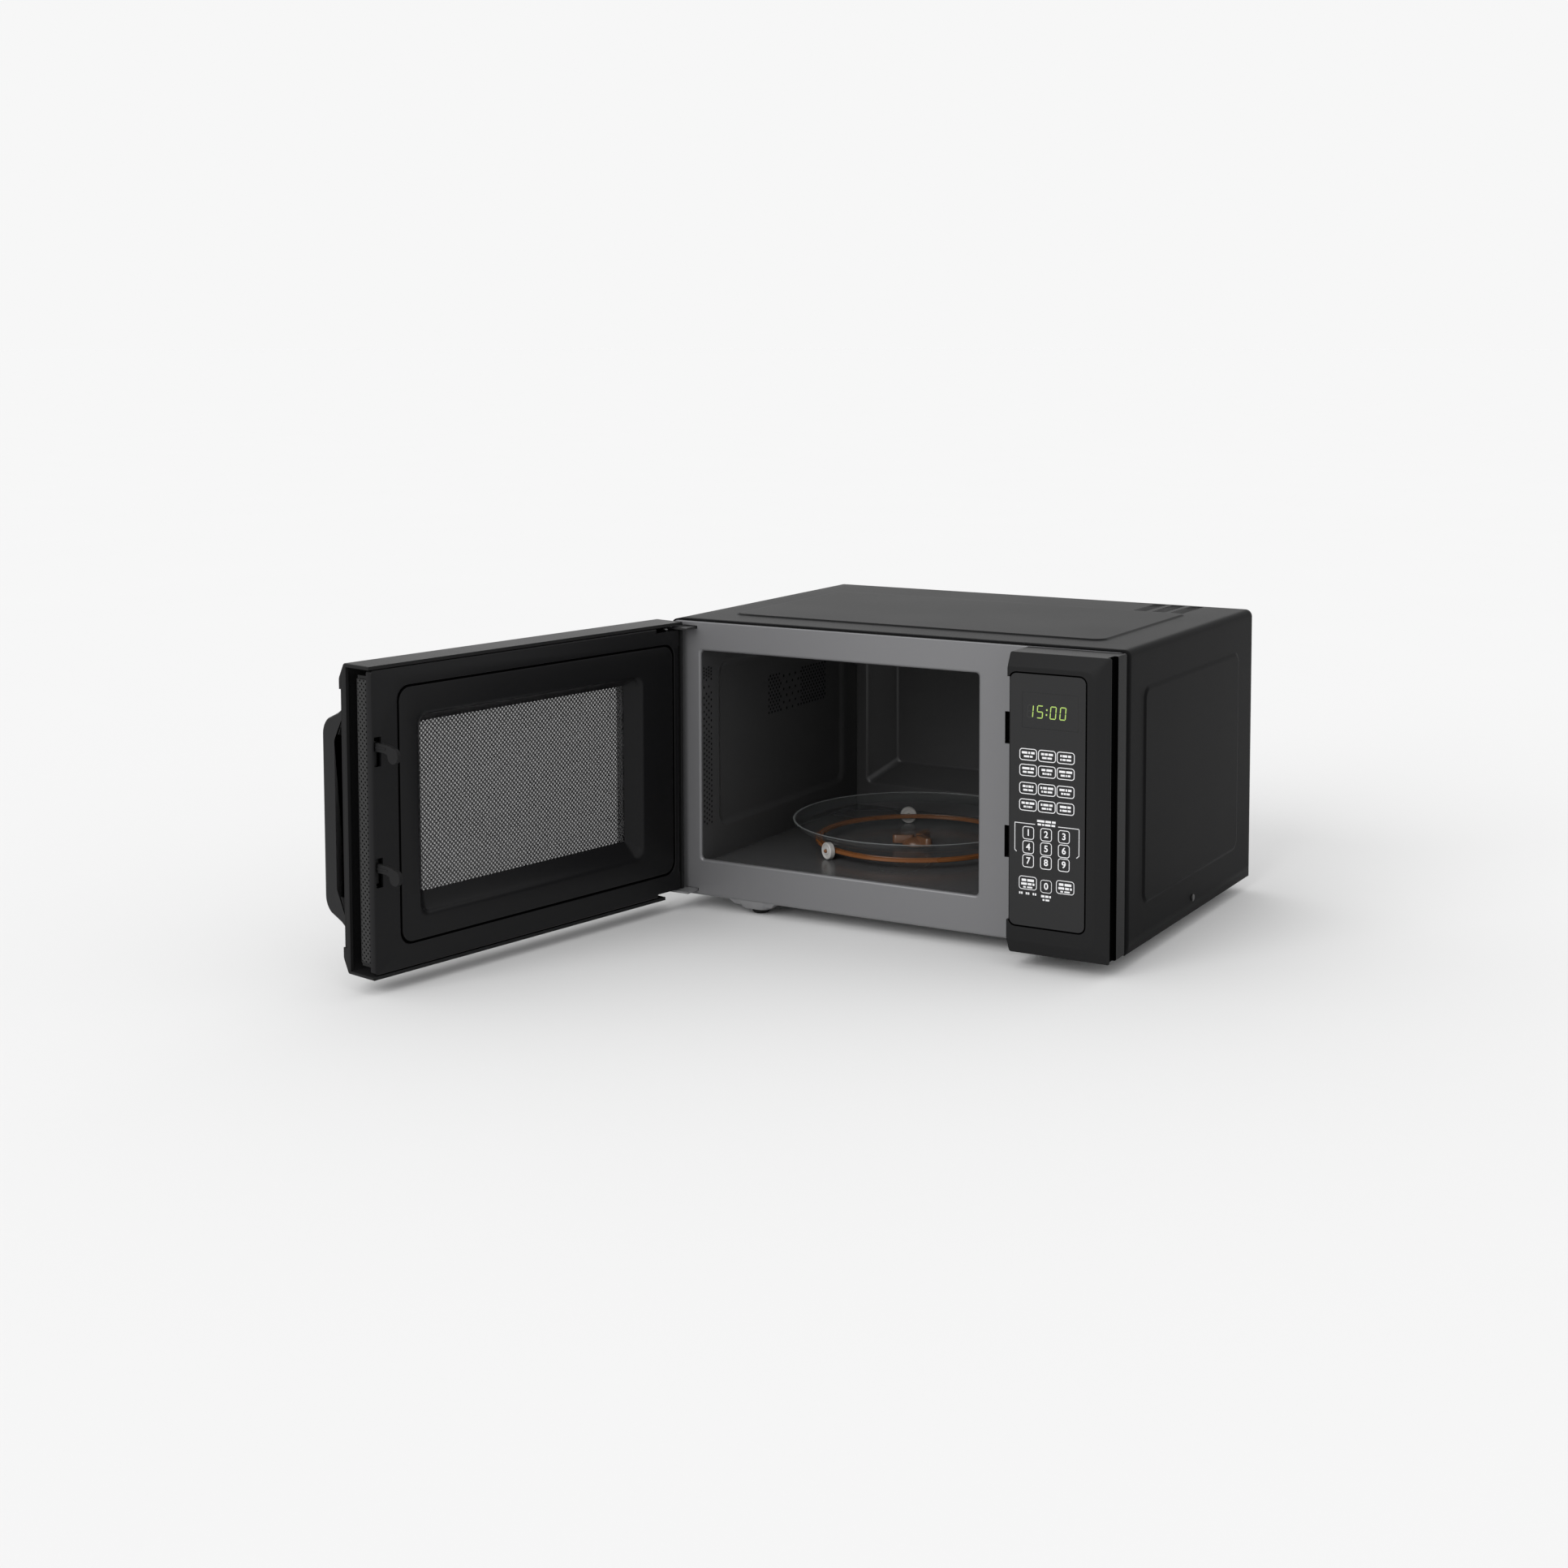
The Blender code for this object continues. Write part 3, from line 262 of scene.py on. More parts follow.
def lofted(rings, where, name="tool", angle=30.0):
    """A closed solid through rings."""
    bm = bmesh.new()
    loft(bm, rings, True, True)
    return new_object(name, bm, where, angle)


def tool_box(x, y, z, where):
    return lofted([at_z(rectangle(x, y), z[0]), at_z(rectangle(x, y), z[1])], where)


def spin(bm, profile, centre, steps=64, axis="Z"):
    """Turn a profile of (radius, height) points round an axis; an open profile starts and ends on it."""
    rings = []
    for radius, height in profile:
        points = []
        for i in range(steps):
            turn = math.tau * i / steps
            u, v = radius * math.cos(turn), radius * math.sin(turn)
            points.append({"X": (height, u, v), "Y": (v, height, u), "Z": (u, v, height)}[axis])
        rings.append([Vector(point) + Vector(centre) for point in points])
    closed = profile[0][0] > 0
    loft(bm, rings + ([rings[0]] if closed else []))


def spun(profile, centre, steps, where, name="tool", angle=30.0, axis="Z"):
    """A closed solid of revolution."""
    bm = bmesh.new()
    spin(bm, profile, centre, steps, axis)
    return new_object(name, bm, where, angle)


def tool_rod(centre, radius, span, where, steps, axis="Z"):
    profile = [(0, span[0]), (radius, span[0]), (radius, span[1]), (0, span[1])]
    return spun(profile, centre, steps, where, axis=axis)


def turned(centre, turn):
    """Placing of a piece that is turned round an upright axis."""
    return CABINET @ Matrix.Translation(centre) @ Matrix.Rotation(turn, 4, "Z")


def surface(bm, us, vs, point, holes=None):
    """A sheet of cells over two lists of coordinates. A cell may be left open or get a round hole."""
    made = {}

    def vert(u, v):
        key = (round(u, 4), round(v, 4))
        if key not in made:
            made[key] = bm.verts.new(point(u, v))
        return made[key]

    for i, (u0, u1) in enumerate(zip(us, us[1:])):
        for j, (v0, v1) in enumerate(zip(vs, vs[1:])):
            hole = holes(i, j, (u0 + u1) / 2, (v0 + v1) / 2) if holes else None
            if hole == "open":
                continue
            corners = [vert(u1, v1), vert(u0, v1), vert(u0, v0), vert(u1, v0)]
            if not hole:
                bm.faces.new(corners)
                continue
            rim = [vert((u0 + u1) / 2 + hole * math.cos(math.radians(45 * k + 45)),
                        (v0 + v1) / 2 + hole * math.sin(math.radians(45 * k + 45))) for k in range(8)]
            for k in range(4):
                last = (2 * k + 2) % 8
                bm.faces.new((corners[k], corners[(k + 1) % 4], rim[last], rim[2 * k + 1], rim[2 * k]))


def lines(start, end, edges=(), reach=14.0, fine=1.4, coarse=12.0):
    """Coordinates from start to end, close together near the given edges."""
    near = [(max(start, edge - reach), min(end, edge + reach)) for edge in edges]
    values = [start]
    while values[-1] < end - 1e-6:
        here = values[-1]
        step = fine if any(low - 1e-6 <= here < high for low, high in near) else coarse
        ahead = [low for low, _ in near if low > here + 1e-6]
        target = min([here + step, end] + [low for low in ahead if low < here + step])
        values.append(end if end - target < 0.3 else target)
    return values


def steps_between(start, end, count):
    return [start + (end - start) * i / count for i in range(count + 1)]


def smooth_step(value):
    value = min(max(value, 0.0), 1.0)
    return value * value * (3 - 2 * value)


def field(u, v, span_u, span_v, radius):
    """How far a point lies inside a rectangle with round corners; negative outside."""
    over_u = abs(u - sum(span_u) / 2) - (span_u[1] - span_u[0]) / 2 + radius
    over_v = abs(v - sum(span_v) / 2) - (span_v[1] - span_v[0]) / 2 + radius
    return radius - math.hypot(max(over_u, 0), max(over_v, 0)) - min(max(over_u, over_v), 0)


# ---------------------------------------------------------------- materials

def start_look(name):
    """A new material, a function that adds nodes to it, and the coordinates in the piece's own frame."""
    look = bpy.data.materials.new(name)
    look.use_nodes = True
    nodes, links = look.node_tree.nodes, look.node_tree.links

    def add(kind, settings, sources):
        node = nodes.new(kind)
        for key, value in settings.items():
            if hasattr(node, key):
                setattr(node, key, value)
            else:
                node.inputs[key].default_value = value
        for key, source in sources.items():
            links.new(source, node.inputs[key])
        return node

    return look, add, nodes.new("ShaderNodeTexCoord").outputs["Object"]


def blend(add, dark, light, factor):
    """A colour between two colours."""
    tint = add("ShaderNodeMix", {"data_type": "RGBA"}, {"Factor": factor})
    tint.inputs[6].default_value = (*dark, 1.0)
    tint.inputs[7].default_value = (*light, 1.0)
    return tint.outputs[2]


def finish_look(look, values, sources):
    """Set values on the shader's own sockets and connect the others."""
    shader = look.node_tree.nodes["Principled BSDF"]
    for key, value in values.items():
        shader.inputs[key].default_value = value
    for key, source in sources.items():
        look.node_tree.links.new(source, shader.inputs[key])
    return look


def surface_look(name, colour, rough, metal=0.0, specular=0.5, grain=1500.0, relief=0.05, vary=0.15,
                 spread=0.06):
    """Paint, plastic, rubber or metal: fine grain in the relief and the colour, slow change in the gloss."""
    look, add, coords = start_look(name)
    fine = add("ShaderNodeTexNoise", {"Scale": grain, "Detail": 3.0}, {"Vector": coords}).outputs["Fac"]
    slow = add("ShaderNodeTexNoise", {"Scale": 9.0, "Detail": 1.0}, {"Vector": coords}).outputs["Fac"]
    dark = [part * (1 - vary) for part in colour]
    light = [min(part * (1 + vary), 1.0) for part in colour]
    tint = blend(add, dark, light, fine)
    gloss = add("ShaderNodeMapRange", {"To Min": max(rough - spread, 0.02), "To Max": rough + spread},
                {"Value": slow})
    bump = add("ShaderNodeBump", {"Strength": relief, "Distance": 0.0004}, {"Height": fine})
    return finish_look(look, {"Metallic": metal, "Specular IOR Level": specular},
                       {"Base Color": tint, "Roughness": gloss.outputs["Result"],
                        "Normal": bump.outputs["Normal"]})


def glass_look(name, colour, rough, alpha):
    """Clear or smoked glass, see-through without bending the light, so that what lies under it stays lit."""
    look, add, coords = start_look(name)
    slow = add("ShaderNodeTexNoise", {"Scale": 30.0, "Detail": 3.0}, {"Vector": coords}).outputs["Fac"]
    gloss = add("ShaderNodeMapRange", {"To Min": rough, "To Max": rough + 0.04}, {"Value": slow})
    return finish_look(look, {"Base Color": (*colour, 1.0), "IOR": 1.5, "Alpha": alpha},
                       {"Roughness": gloss.outputs["Result"]})


def core_look(name, dark, light):
    """Stacked sheets of a transformer or a motor: fine bands across one direction."""
    look, add, coords = start_look(name)
    bands = add("ShaderNodeTexWave",
                {"bands_direction": "X", "Scale": 120.0, "Distortion": 0.6, "Detail": 2.0},
                {"Vector": coords}).outputs["Fac"]
    tint = blend(add, dark, light, bands)
    bump = add("ShaderNodeBump", {"Strength": 0.5, "Distance": 0.0005}, {"Height": bands})
    return finish_look(look, {"Roughness": 0.5, "Metallic": 0.5},
                       {"Base Color": tint, "Normal": bump.outputs["Normal"]})


def board_look(name, track, lacquer):
    """Circuit board: green lacquer over lighter tracks."""
    look, add, coords = start_look(name)
    cells = add("ShaderNodeTexVoronoi", {"feature": "DISTANCE_TO_EDGE", "Scale": 160.0}, {"Vector": coords})
    tracks = add("ShaderNodeMapRange", {"From Min": 0.02, "From Max": 0.06},
                 {"Value": cells.outputs["Distance"]})
    return finish_look(look, {"Roughness": 0.35},
                       {"Base Color": blend(add, track, lacquer, tracks.outputs["Result"])})


def lit_look(name, colour, strength):
    """A display's glowing segments."""
    look, add, coords = start_look(name)
    fine = add("ShaderNodeTexNoise", {"Scale": 900.0}, {"Vector": coords}).outputs["Fac"]
    power = add("ShaderNodeMapRange", {"To Min": strength * 0.85, "To Max": strength * 1.15}, {"Value": fine})
    unlit = [part * 0.3 for part in colour]
    return finish_look(look, {"Base Color": (*unlit, 1.0), "Emission Color": (*colour, 1.0)},
                       {"Emission Strength": power.outputs["Result"]})


# For each look: the material's name, its colour and roughness, and other settings of surface_look.
SURFACES = {
    "cover": ("black_enamel_paint", (0.006, 0.006, 0.0063), 0.36,
              dict(specular=0.015, grain=2200, relief=0.10, vary=0.12, spread=0.02)),
    "frame": ("grey_paint", (0.170, 0.170, 0.175), 0.34,
              dict(metal=0.3, specular=0.35, grain=2400, relief=0.08, vary=0.06, spread=0.03)),
    "base": ("grey_sheet", (0.23, 0.23, 0.235), 0.42,
             dict(metal=0.3, grain=1800, relief=0.08, vary=0.08, spread=0.04)),
    "enamel": ("cavity_enamel", (0.062, 0.062, 0.063), 0.30,
               dict(specular=0.30, grain=1300, vary=0.12, spread=0.03)),
    # floor enamel: a glossier copy of the wall enamel, and lighter in colour as painted light where light
    # falls on the floor from above
    "enamel_floor": ("cavity_floor_enamel", (0.075, 0.075, 0.076), 0.26,
                     dict(grain=1300, vary=0.12, spread=0.03)),
    "moulding": ("black_moulding", (0.016, 0.016, 0.0163), 0.36,
                 dict(specular=0.035, grain=3200, relief=0.12, spread=0.03)),
    # channel: near-black painted shade for the panel's side channel, the groove round the keypad and the
    # bottom of the door's pressed line
    "channel": ("deep_channel", (0.001, 0.001, 0.001), 0.8, dict(specular=0.0, grain=3200)),
    "inner": ("door_inner_plastic", (0.0075, 0.0075, 0.008), 0.30,
              dict(specular=0.13, grain=3600, relief=0.10, spread=0.03)),
    "grip": ("handle_plastic", (0.009, 0.009, 0.0095), 0.30,
             dict(specular=0.15, grain=3200, relief=0.08, spread=0.03)),
    "screen": ("screen_paint", (0.040, 0.040, 0.041), 0.5,
               dict(metal=0.1, specular=0.15, grain=2600, relief=0.1)),
    "strip": ("strip_plastic", (0.022, 0.022, 0.022), 0.45, dict(specular=0.2, grain=3200, relief=0.1)),
    "keypad": ("keypad_film", (0.013, 0.013, 0.0135), 0.36,
               dict(specular=0.28, grain=4200, relief=0.08, vary=0.1, spread=0.02)),
    "print": ("white_print", (0.72, 0.72, 0.73), 0.5, dict(grain=5000, relief=0.02, vary=0.08)),
    "unlit": ("unlit_segments", (0.024, 0.024, 0.024), 0.36, dict(specular=0.28, grain=2000)),
    "ring": ("amber_plastic", (0.20, 0.075, 0.024), 0.26, dict(grain=900, relief=0.04)),
    "hub": ("brown_plastic", (0.14, 0.06, 0.025), 0.25, dict(grain=900, relief=0.04)),
    "wheel": ("wheel_nylon", (0.52, 0.51, 0.49), 0.32, dict(grain=900, vary=0.06)),
    "rubber": ("rubber", (0.010, 0.010, 0.010), 0.75, dict(specular=0.25, grain=1800, relief=0.3)),
    "zinc": ("zinc_plate", (0.56, 0.57, 0.58), 0.38,
             dict(metal=1.0, grain=260, relief=0.08, vary=0.16, spread=0.1)),
    "screw": ("screw_steel", (0.45, 0.45, 0.46), 0.3, dict(metal=1.0, grain=700, relief=0.1)),
    "black_screw": ("screw_black", (0.02, 0.02, 0.02), 0.35, dict(grain=900, relief=0.1)),
    "hinge_black": ("hinge_black", (0.014, 0.014, 0.014), 0.4, dict(relief=0.1)),
    "nylon": ("switch_nylon", (0.70, 0.69, 0.65), 0.42, dict(grain=1200, vary=0.06)),
    "switch": ("switch_red", (0.26, 0.02, 0.015), 0.45, dict(relief=0.06)),
    "fan": ("fan_plastic", (0.55, 0.55, 0.53), 0.42, dict(grain=1200, vary=0.05)),
    "mica": ("mica", (0.36, 0.32, 0.26), 0.55, dict(grain=420, relief=0.25, vary=0.3)),
    "ceramic": ("black_ceramic", (0.03, 0.03, 0.03), 0.4, dict(grain=900, relief=0.1)),
}
# For each look: the material's name, colour, roughness and opacity.
GLASSES = {
    "door_glass": ("smoked_pane", (0.006, 0.006, 0.007), 0.05, 0.40),
    "film": ("clear_film", (0.2, 0.2, 0.2), 0.08, 0.06),
    # the rim glass is a painted reflection and the edge glass a painted highlight on the tray
    "tray": ("tray_glass", (0.20, 0.21, 0.21), 0.02, 0.08),
    "painted_rim_reflection": ("tray_glass_painted_rim_reflection", (0.10, 0.105, 0.105), 0.02, 0.28),
    "painted_edge_highlight": ("tray_glass_painted_edge_highlight", (0.45, 0.47, 0.47), 0.02, 0.5),
    "bulb": ("lamp_glass", (0.95, 0.93, 0.85), 0.05, 0.5),
}


def make_looks():
    looks = {key: surface_look(*row, **extra) for key, (*row, extra) in SURFACES.items()}
    looks.update({key: glass_look(*row) for key, row in GLASSES.items()})
    looks["digits"] = lit_look("display_segments", (0.38, 0.55, 0.12), 0.95)
    looks["core"] = core_look("stacked_core", (0.05, 0.03, 0.022), (0.16, 0.09, 0.06))
    looks["board"] = board_look("circuit_board", (0.10, 0.22, 0.06), (0.015, 0.09, 0.03))
    return looks


# ---------------------------------------------------------------- cabinet

SIDE_FIELD_Y = (42.6, 299.5)
SIDE_FIELD_Z = (51.0, 252.0)
TOP_FIELD_X = (-203.0, 199.0)
TOP_FIELD_Y = (50.0, 270.0)
FIELD_RISE = 1.3
FIELD_SLOPE = 2.3
VENT_X = ((138, 152), (158, 172), (178, 192))
VENT_ROWS = [(277 + 7 * i, 280 + 7 * i) for i in range(8)]


def raised(u, v, span_u, span_v, radius):
    return FIELD_RISE * smooth_step(field(u, v, span_u, span_v, radius) / FIELD_SLOPE)


def build_cover(look):
    """Painted wrap with pressed fields on the top and the sides and a block of vents."""
    straight = TOP - CORNER - BASE
    arc = CORNER * math.pi / 2
    flat = 2 * (HALF - CORNER)
    total = 2 * straight + 2 * arc + flat

    # u runs along the wrap from the left foot over the top to the right foot, v runs to the back
    def on_cover(u, v):
        if u > total / 2:
            x, z = profile(total - u, v)
            return (-x, v, z)
        x, z = profile(u, v)
        return (x, v, z)

    def profile(u, v):
        if u <= straight:
            return -HALF - raised(v, BASE + u, SIDE_FIELD_Y, SIDE_FIELD_Z, 11), BASE + u
        if u <= straight + arc:
            turn = (u - straight) / CORNER
            return -HALF + CORNER - CORNER * math.cos(turn), TOP - CORNER + CORNER * math.sin(turn)
        return -HALF + CORNER + u - straight - arc, TOP

    def with_top(u, v):
        x, y, z = on_cover(u, v)
        if straight + arc < u < total - straight - arc:
            z += raised(x, y, TOP_FIELD_X, TOP_FIELD_Y, 14)
        return (x, y, z)

    def vents(i, j, u, v):
        x = u - straight - arc - HALF + CORNER
        in_slot = any(a < x < b for a, b in VENT_X) and any(a < v < b for a, b in VENT_ROWS)
        return "open" if in_slot else None

    sides = lines(0, straight, [z - BASE for z in SIDE_FIELD_Z])
    sides += steps_between(straight, straight + arc, 8)[1:]
    top_edges = sorted({*TOP_FIELD_X, *[x for pair in VENT_X for x in pair]})
    tops = lines(-HALF + CORNER, HALF - CORNER, top_edges, reach=9)
    tops = sorted({*tops, *[float(x) for pair in VENT_X for x in pair]})
    us = sides + [straight + arc + x + HALF - CORNER for x in tops[1:-1]] + [total - u for u in sides[::-1]]
    vs = lines(0, DEPTH, [*SIDE_FIELD_Y, *TOP_FIELD_Y], reach=12)
    vs = sorted({*vs, *[float(y) for pair in VENT_ROWS for y in pair]})
    bm = bmesh.new()
    surface(bm, us, vs, with_top, vents)
    cover = thicken(new_object("cover_wrap", bm, CABINET, 40, outward=False), 1.0)
    attach(cover, "cabinet", look, ["outer_cover"])


def rolled(x, z, roll, outward, turns, radius, steps):
    """Rings of a quarter-round edge at the face y = 0; outward is 1 for a hole and -1 for an outline."""
    rings = []
    for turn in [math.radians(90 * k / turns) for k in range(turns + 1)]:
        by = outward * (roll - roll * math.sin(turn))
        rings.append(ring(roll - roll * math.cos(turn), grown(x, by), grown(z, by), radius, steps))
    return rings


def build_front_frame(look):
    """Painted frame with rolled edges round the opening and its own outline, and the latch slots."""
    roll, corner = 2.4, 4.0
    edge, edge_corner = 1.4, 5.5
    outline_x, outline_z = (-241.2, 241.2), (14.8, 289.2)
    bm = bmesh.new()
    opening = rolled(OPENING_X, OPENING_Z, roll, 1, 6, corner, 6)
    opening.append(ring(roll + 1.2, OPENING_X, OPENING_Z, corner, 6))
    loft(bm, opening)
    outside = rolled(outline_x, outline_z, edge, -1, 5, edge_corner, 5)
    outside.append(ring(9.0, outline_x, outline_z, edge_corner, 5))
    loft(bm, outside)
    slots = [at_y(rectangle(SLOT_X, (level - 16, level + 14)), 0) for level in HOOK_LEVELS]
    slots += [at_y(rectangle((-239.0, -212.5), (level - 1.6, level + 1.6)), 0) for level in HINGE_LEVELS]
    behind_panel = at_y(rectangle((160, 230), (60, 250)), 0)
    fill(bm, [outside[0], opening[0], *slots, behind_panel])
    bmesh.ops.remove_doubles(bm, verts=bm.verts, dist=0.001)
    bmesh.ops.recalc_face_normals(bm, faces=bm.faces)
    face = min((f for f in bm.faces if abs(f.normal.y) > 0.99), key=lambda f: f.calc_center_median().y)
    if face.normal.y > 0:
        bmesh.ops.reverse_faces(bm, faces=bm.faces)
    item = keep_flat(thicken(new_object("front_frame_skin", bm, CABINET, 40, outward=False), 0.9))
    attach(item, "cabinet", look, ["front_frame"])


def build_foot_pads(look):
    """Shallow pads pressed down from the floor sheet, each with a foot under it."""
    bm = bmesh.new()
    for name in ("foot_front_left", "foot_front_right", "foot_rear_left", "foot_rear_right"):
        low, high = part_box(name)
        middle = CABINET.inverted() @ ((low + high) / 2)
        rings = []
        for half, drop in ((21.0, -0.4), (20.2, 0.4), (16.0, 7.0), (15.2, 8.0), (14.0, 8.4)):
            deep = min(half, middle.y - 1.5)
            pad = rounded((middle.x - half, middle.x + half), (middle.y - deep, middle.y + deep), 9.0)
            rings.append(at_z(pad, BASE - drop))
        loft(bm, rings, True, True)
    attach(new_object("foot_pads", bm, CABINET, 30), "cabinet", look)


CAVITY_X = grown(OPENING_X, 0.2)
CAVITY_Y = (2.6, CAVITY_BACK)
CAVITY_Z = (CAVITY_FLOOR, OPENING_Z[1] + 0.2)
HOLE_COLUMN_Y = (4.6, 22.2)
HOLE_COLUMN_Z = (83.0, 241.4)
PATCH_Y = (135.0, 256.0)
PATCH_Z = (175.0, 217.0)
BULGE_Y = (34.0, 292.0)
BULGE_Z = (76.0, 245.0)


def add_left_wall(bm):
    """Pressed wall with a column of holes near the opening and a patch of holes in the middle."""
    columns, rows = 40, 12
    cell_y = (PATCH_Y[1] - PATCH_Y[0]) / columns
    cell_z = (PATCH_Z[1] - PATCH_Z[0]) / rows

    def pressed(y, z):
        return (CAVITY_X[0] - 3.0 * smooth_step(field(y, z, BULGE_Y, BULGE_Z, 14) / 7.0), y, z)

    def holes(i, j, y, z):
        if within(y, z, HOLE_COLUMN_Y, HOLE_COLUMN_Z):
            return 1.25 if (i + j) % 2 == 0 else None
        if within(y, z, PATCH_Y, PATCH_Z):
            column, row = int((y - PATCH_Y[0]) / cell_y), int((z - PATCH_Z[0]) / cell_z)
            if 8 <= column < 22:
                return 1.5 if (column % 4, row % 4) in ((0, 0), (2, 2)) else None
            return 1.35 if (column + row) % 2 == 0 else None
        return None

    ys = [CAVITY_Y[0]] + steps_between(*HOLE_COLUMN_Y, 4)
    ys += lines(HOLE_COLUMN_Y[1], PATCH_Y[0], [BULGE_Y[0]], 10, 1.6, 10)[1:]
    ys += steps_between(*PATCH_Y, columns)[1:]
    ys += lines(PATCH_Y[1], CAVITY_Y[1], [BULGE_Y[1]], 18, 1.6, 10)[1:]
    zs = lines(CAVITY_Z[0], HOLE_COLUMN_Z[0], [BULGE_Z[0]], 12, 1.6, 10)
    zs += [z for z in steps_between(*HOLE_COLUMN_Z, 60) if z <= PATCH_Z[0] - 1][1:]
    zs += steps_between(*PATCH_Z, rows)
    zs += lines(PATCH_Z[1], CAVITY_Z[1], [BULGE_Z[1]], 14, 1.6, 10)[1:]
    surface(bm, ys, zs, pressed, holes)


def add_back_wall(bm):
    """Wall with its pocket: rounded rim, sloping sides, rounded foot."""
    depth, rim = 22.0, 2.7
    wide_x, wide_z = (-196.0, 82.0), (72.0, 250.0)
    deep_x, deep_z = (-170.0, 56.0), (93.0, 229.0)
    places = [(-0.09, 0.0), (-0.03, 0.5), (0.03, 1.5)]
    places += [(0.08 + 0.84 * k / 6, rim + (depth - 2 * rim) * k / 6) for k in range(7)]
    places += [(0.97, depth - 1.5), (1.03, depth - 0.5), (1.09, depth)]
    rings = [ring(CAVITY_BACK + y, between(wide_x, deep_x, share), between(wide_z, deep_z, share), 7.0)
             for share, y in places]
    loft(bm, rings, end=True)
    fill(bm, [at_y(rectangle(CAVITY_X, CAVITY_Z), CAVITY_BACK), rings[0]])


def build_cavity(looks):
    """Enamelled walls with two groups of holes, the feed opening, the spindle's hole and the pocket."""
    right, (floor, ceiling) = CAVITY_X[1], CAVITY_Z
    side, level = rectangle(CAVITY_Y, CAVITY_Z), rectangle(CAVITY_X, CAVITY_Y)
    bm = bmesh.new()
    add_left_wall(bm)
    fill(bm, [at_x(side, right), at_x(rectangle((112, 156), (168, 216)), right)])
    fill(bm, [at_z(level, floor), at_z(circle(*TABLE, 8.0), floor)])
    fill(bm, [at_z(level, ceiling)])
    add_back_wall(bm)
    bmesh.ops.recalc_face_normals(bm, faces=bm.faces)
    item = keep_flat(new_object("cavity_walls", bm, CABINET, 40))
    # the floor faces get the glossier copy of the enamel, whose lighter colour is painted light
    paint(item, CABINET, looks["enamel"], looks["enamel_floor"], lambda p: p.z < floor + 0.1)
    attach(item, "cabinet", None, ["cavity"])


# ---------------------------------------------------------------- turntable

def build_tray(looks):
    """Glass disc with a raised rim and three lugs under it; the rim gets darker, denser glass as a painted
    reflection and its top edge lighter glass as a painted highlight.
    """
    rim = TRAY_RADIUS
    profile = [(0.0, 0.0), (rim - 22, 0.0), (rim - 17, 0.5), (rim - 9, 3.2), (rim - 4, 6.2), (rim - 1, 9.6),
               (rim, 11.2), (rim - 0.2, 12.2), (rim - 1.4, 12.6), (rim - 2.6, 12.0), (rim - 4.5, 9.4),
               (rim - 8, 7.0), (rim - 13, 5.0), (rim - 18, 4.1), (0.0, 4.0)]
    tray = spun(profile, (*TABLE, TRAY_LEVEL), 128, CABINET, "tray_glass_disc", 60)
    bm = bmesh.new()
    for number in range(3):
        turn = math.tau * number / 3 + math.radians(30)
        spot = (TABLE[0] + 19 * math.cos(turn), TABLE[1] + 19 * math.sin(turn), TRAY_LEVEL)
        spin(bm, [(0, -3.4), (3.2, -3.0), (4.6, -1.4), (5.4, 0.4), (0, 0.6)], spot, 24)
    carve(tray, new_object("tray_lugs", bm, CABINET, 60), operation="UNION")
    tray.data.set_sharp_from_angle(angle=math.radians(60))
    for key in ("tray", "painted_rim_reflection", "painted_edge_highlight"):
        tray.data.materials.append(looks[key])
    inverse = CABINET.inverted()
    # top edge faces get the painted highlight glass, the outer rim faces the painted reflection glass
    for face in tray.data.polygons:
        spot = inverse @ face.center
        if spot.z > TRAY_LEVEL + 11.7:
            face.material_index = 2
        elif math.hypot(spot.x - TABLE[0], spot.y - TABLE[1]) > rim - 12:
            face.material_index = 1
    attach(tray, "tray", None, ["glass_tray"])


def build_ring(looks):
    """Roller ring with a groove on top, its three stub axles and the wheels on them."""
    inner, outer = WHEEL_TRACK - 11, WHEEL_TRACK - 3.6
    middle = (inner + outer) / 2
    centre = (*TABLE, AXLE_LEVEL)
    profile = [(inner, -1.2), (inner + 0.9, -1.9), (outer - 0.9, -1.9), (outer, -1.2), (outer, 1.2),
               (outer - 0.9, 1.9), (middle + 0.8, 1.9), (middle + 0.4, 1.0), (middle - 0.4, 1.0),
               (middle - 0.8, 1.9), (inner + 0.9, 1.9), (inner, 1.2)]
    band = spun(profile, centre, 128, CABINET, "roller_band", 35)
    stub = [(0, 0), (1.8, 0), (1.8, 10.5), (1.2, 11.3), (0, 11.3)]
    for angle in WHEEL_ANGLES:
        place = turned(centre, math.radians(angle))
        carve(band, spun(stub, (outer - 3, 0, 0), 20, place, axis="X"), operation="UNION")
    attach(band, "ring", looks["ring"], ["roller_ring"])

    r = WHEEL_RADIUS
    profile = [(2.2, -3.0), (3.6, -3.0), (3.9, -2.2), (r - 2.2, -2.2), (r - 1.9, -3.0), (r - 0.7, -3.0),
               (r, -2.3), (r, 2.3), (r - 0.7, 3.0), (r - 1.9, 3.0), (r - 2.2, 2.2), (3.9, 2.2), (3.6, 3.0),
               (2.2, 3.0)]
    for number, angle in enumerate(WHEEL_ANGLES, 1):
        place = turned(centre, math.radians(angle))
        wheel = spun(profile, (WHEEL_TRACK, 0, 0), 48, place, f"wheel_{number}", 40, "X")
        attach(wheel, f"wheel_{number}", looks["wheel"], [f"roller_wheel_{number}"])


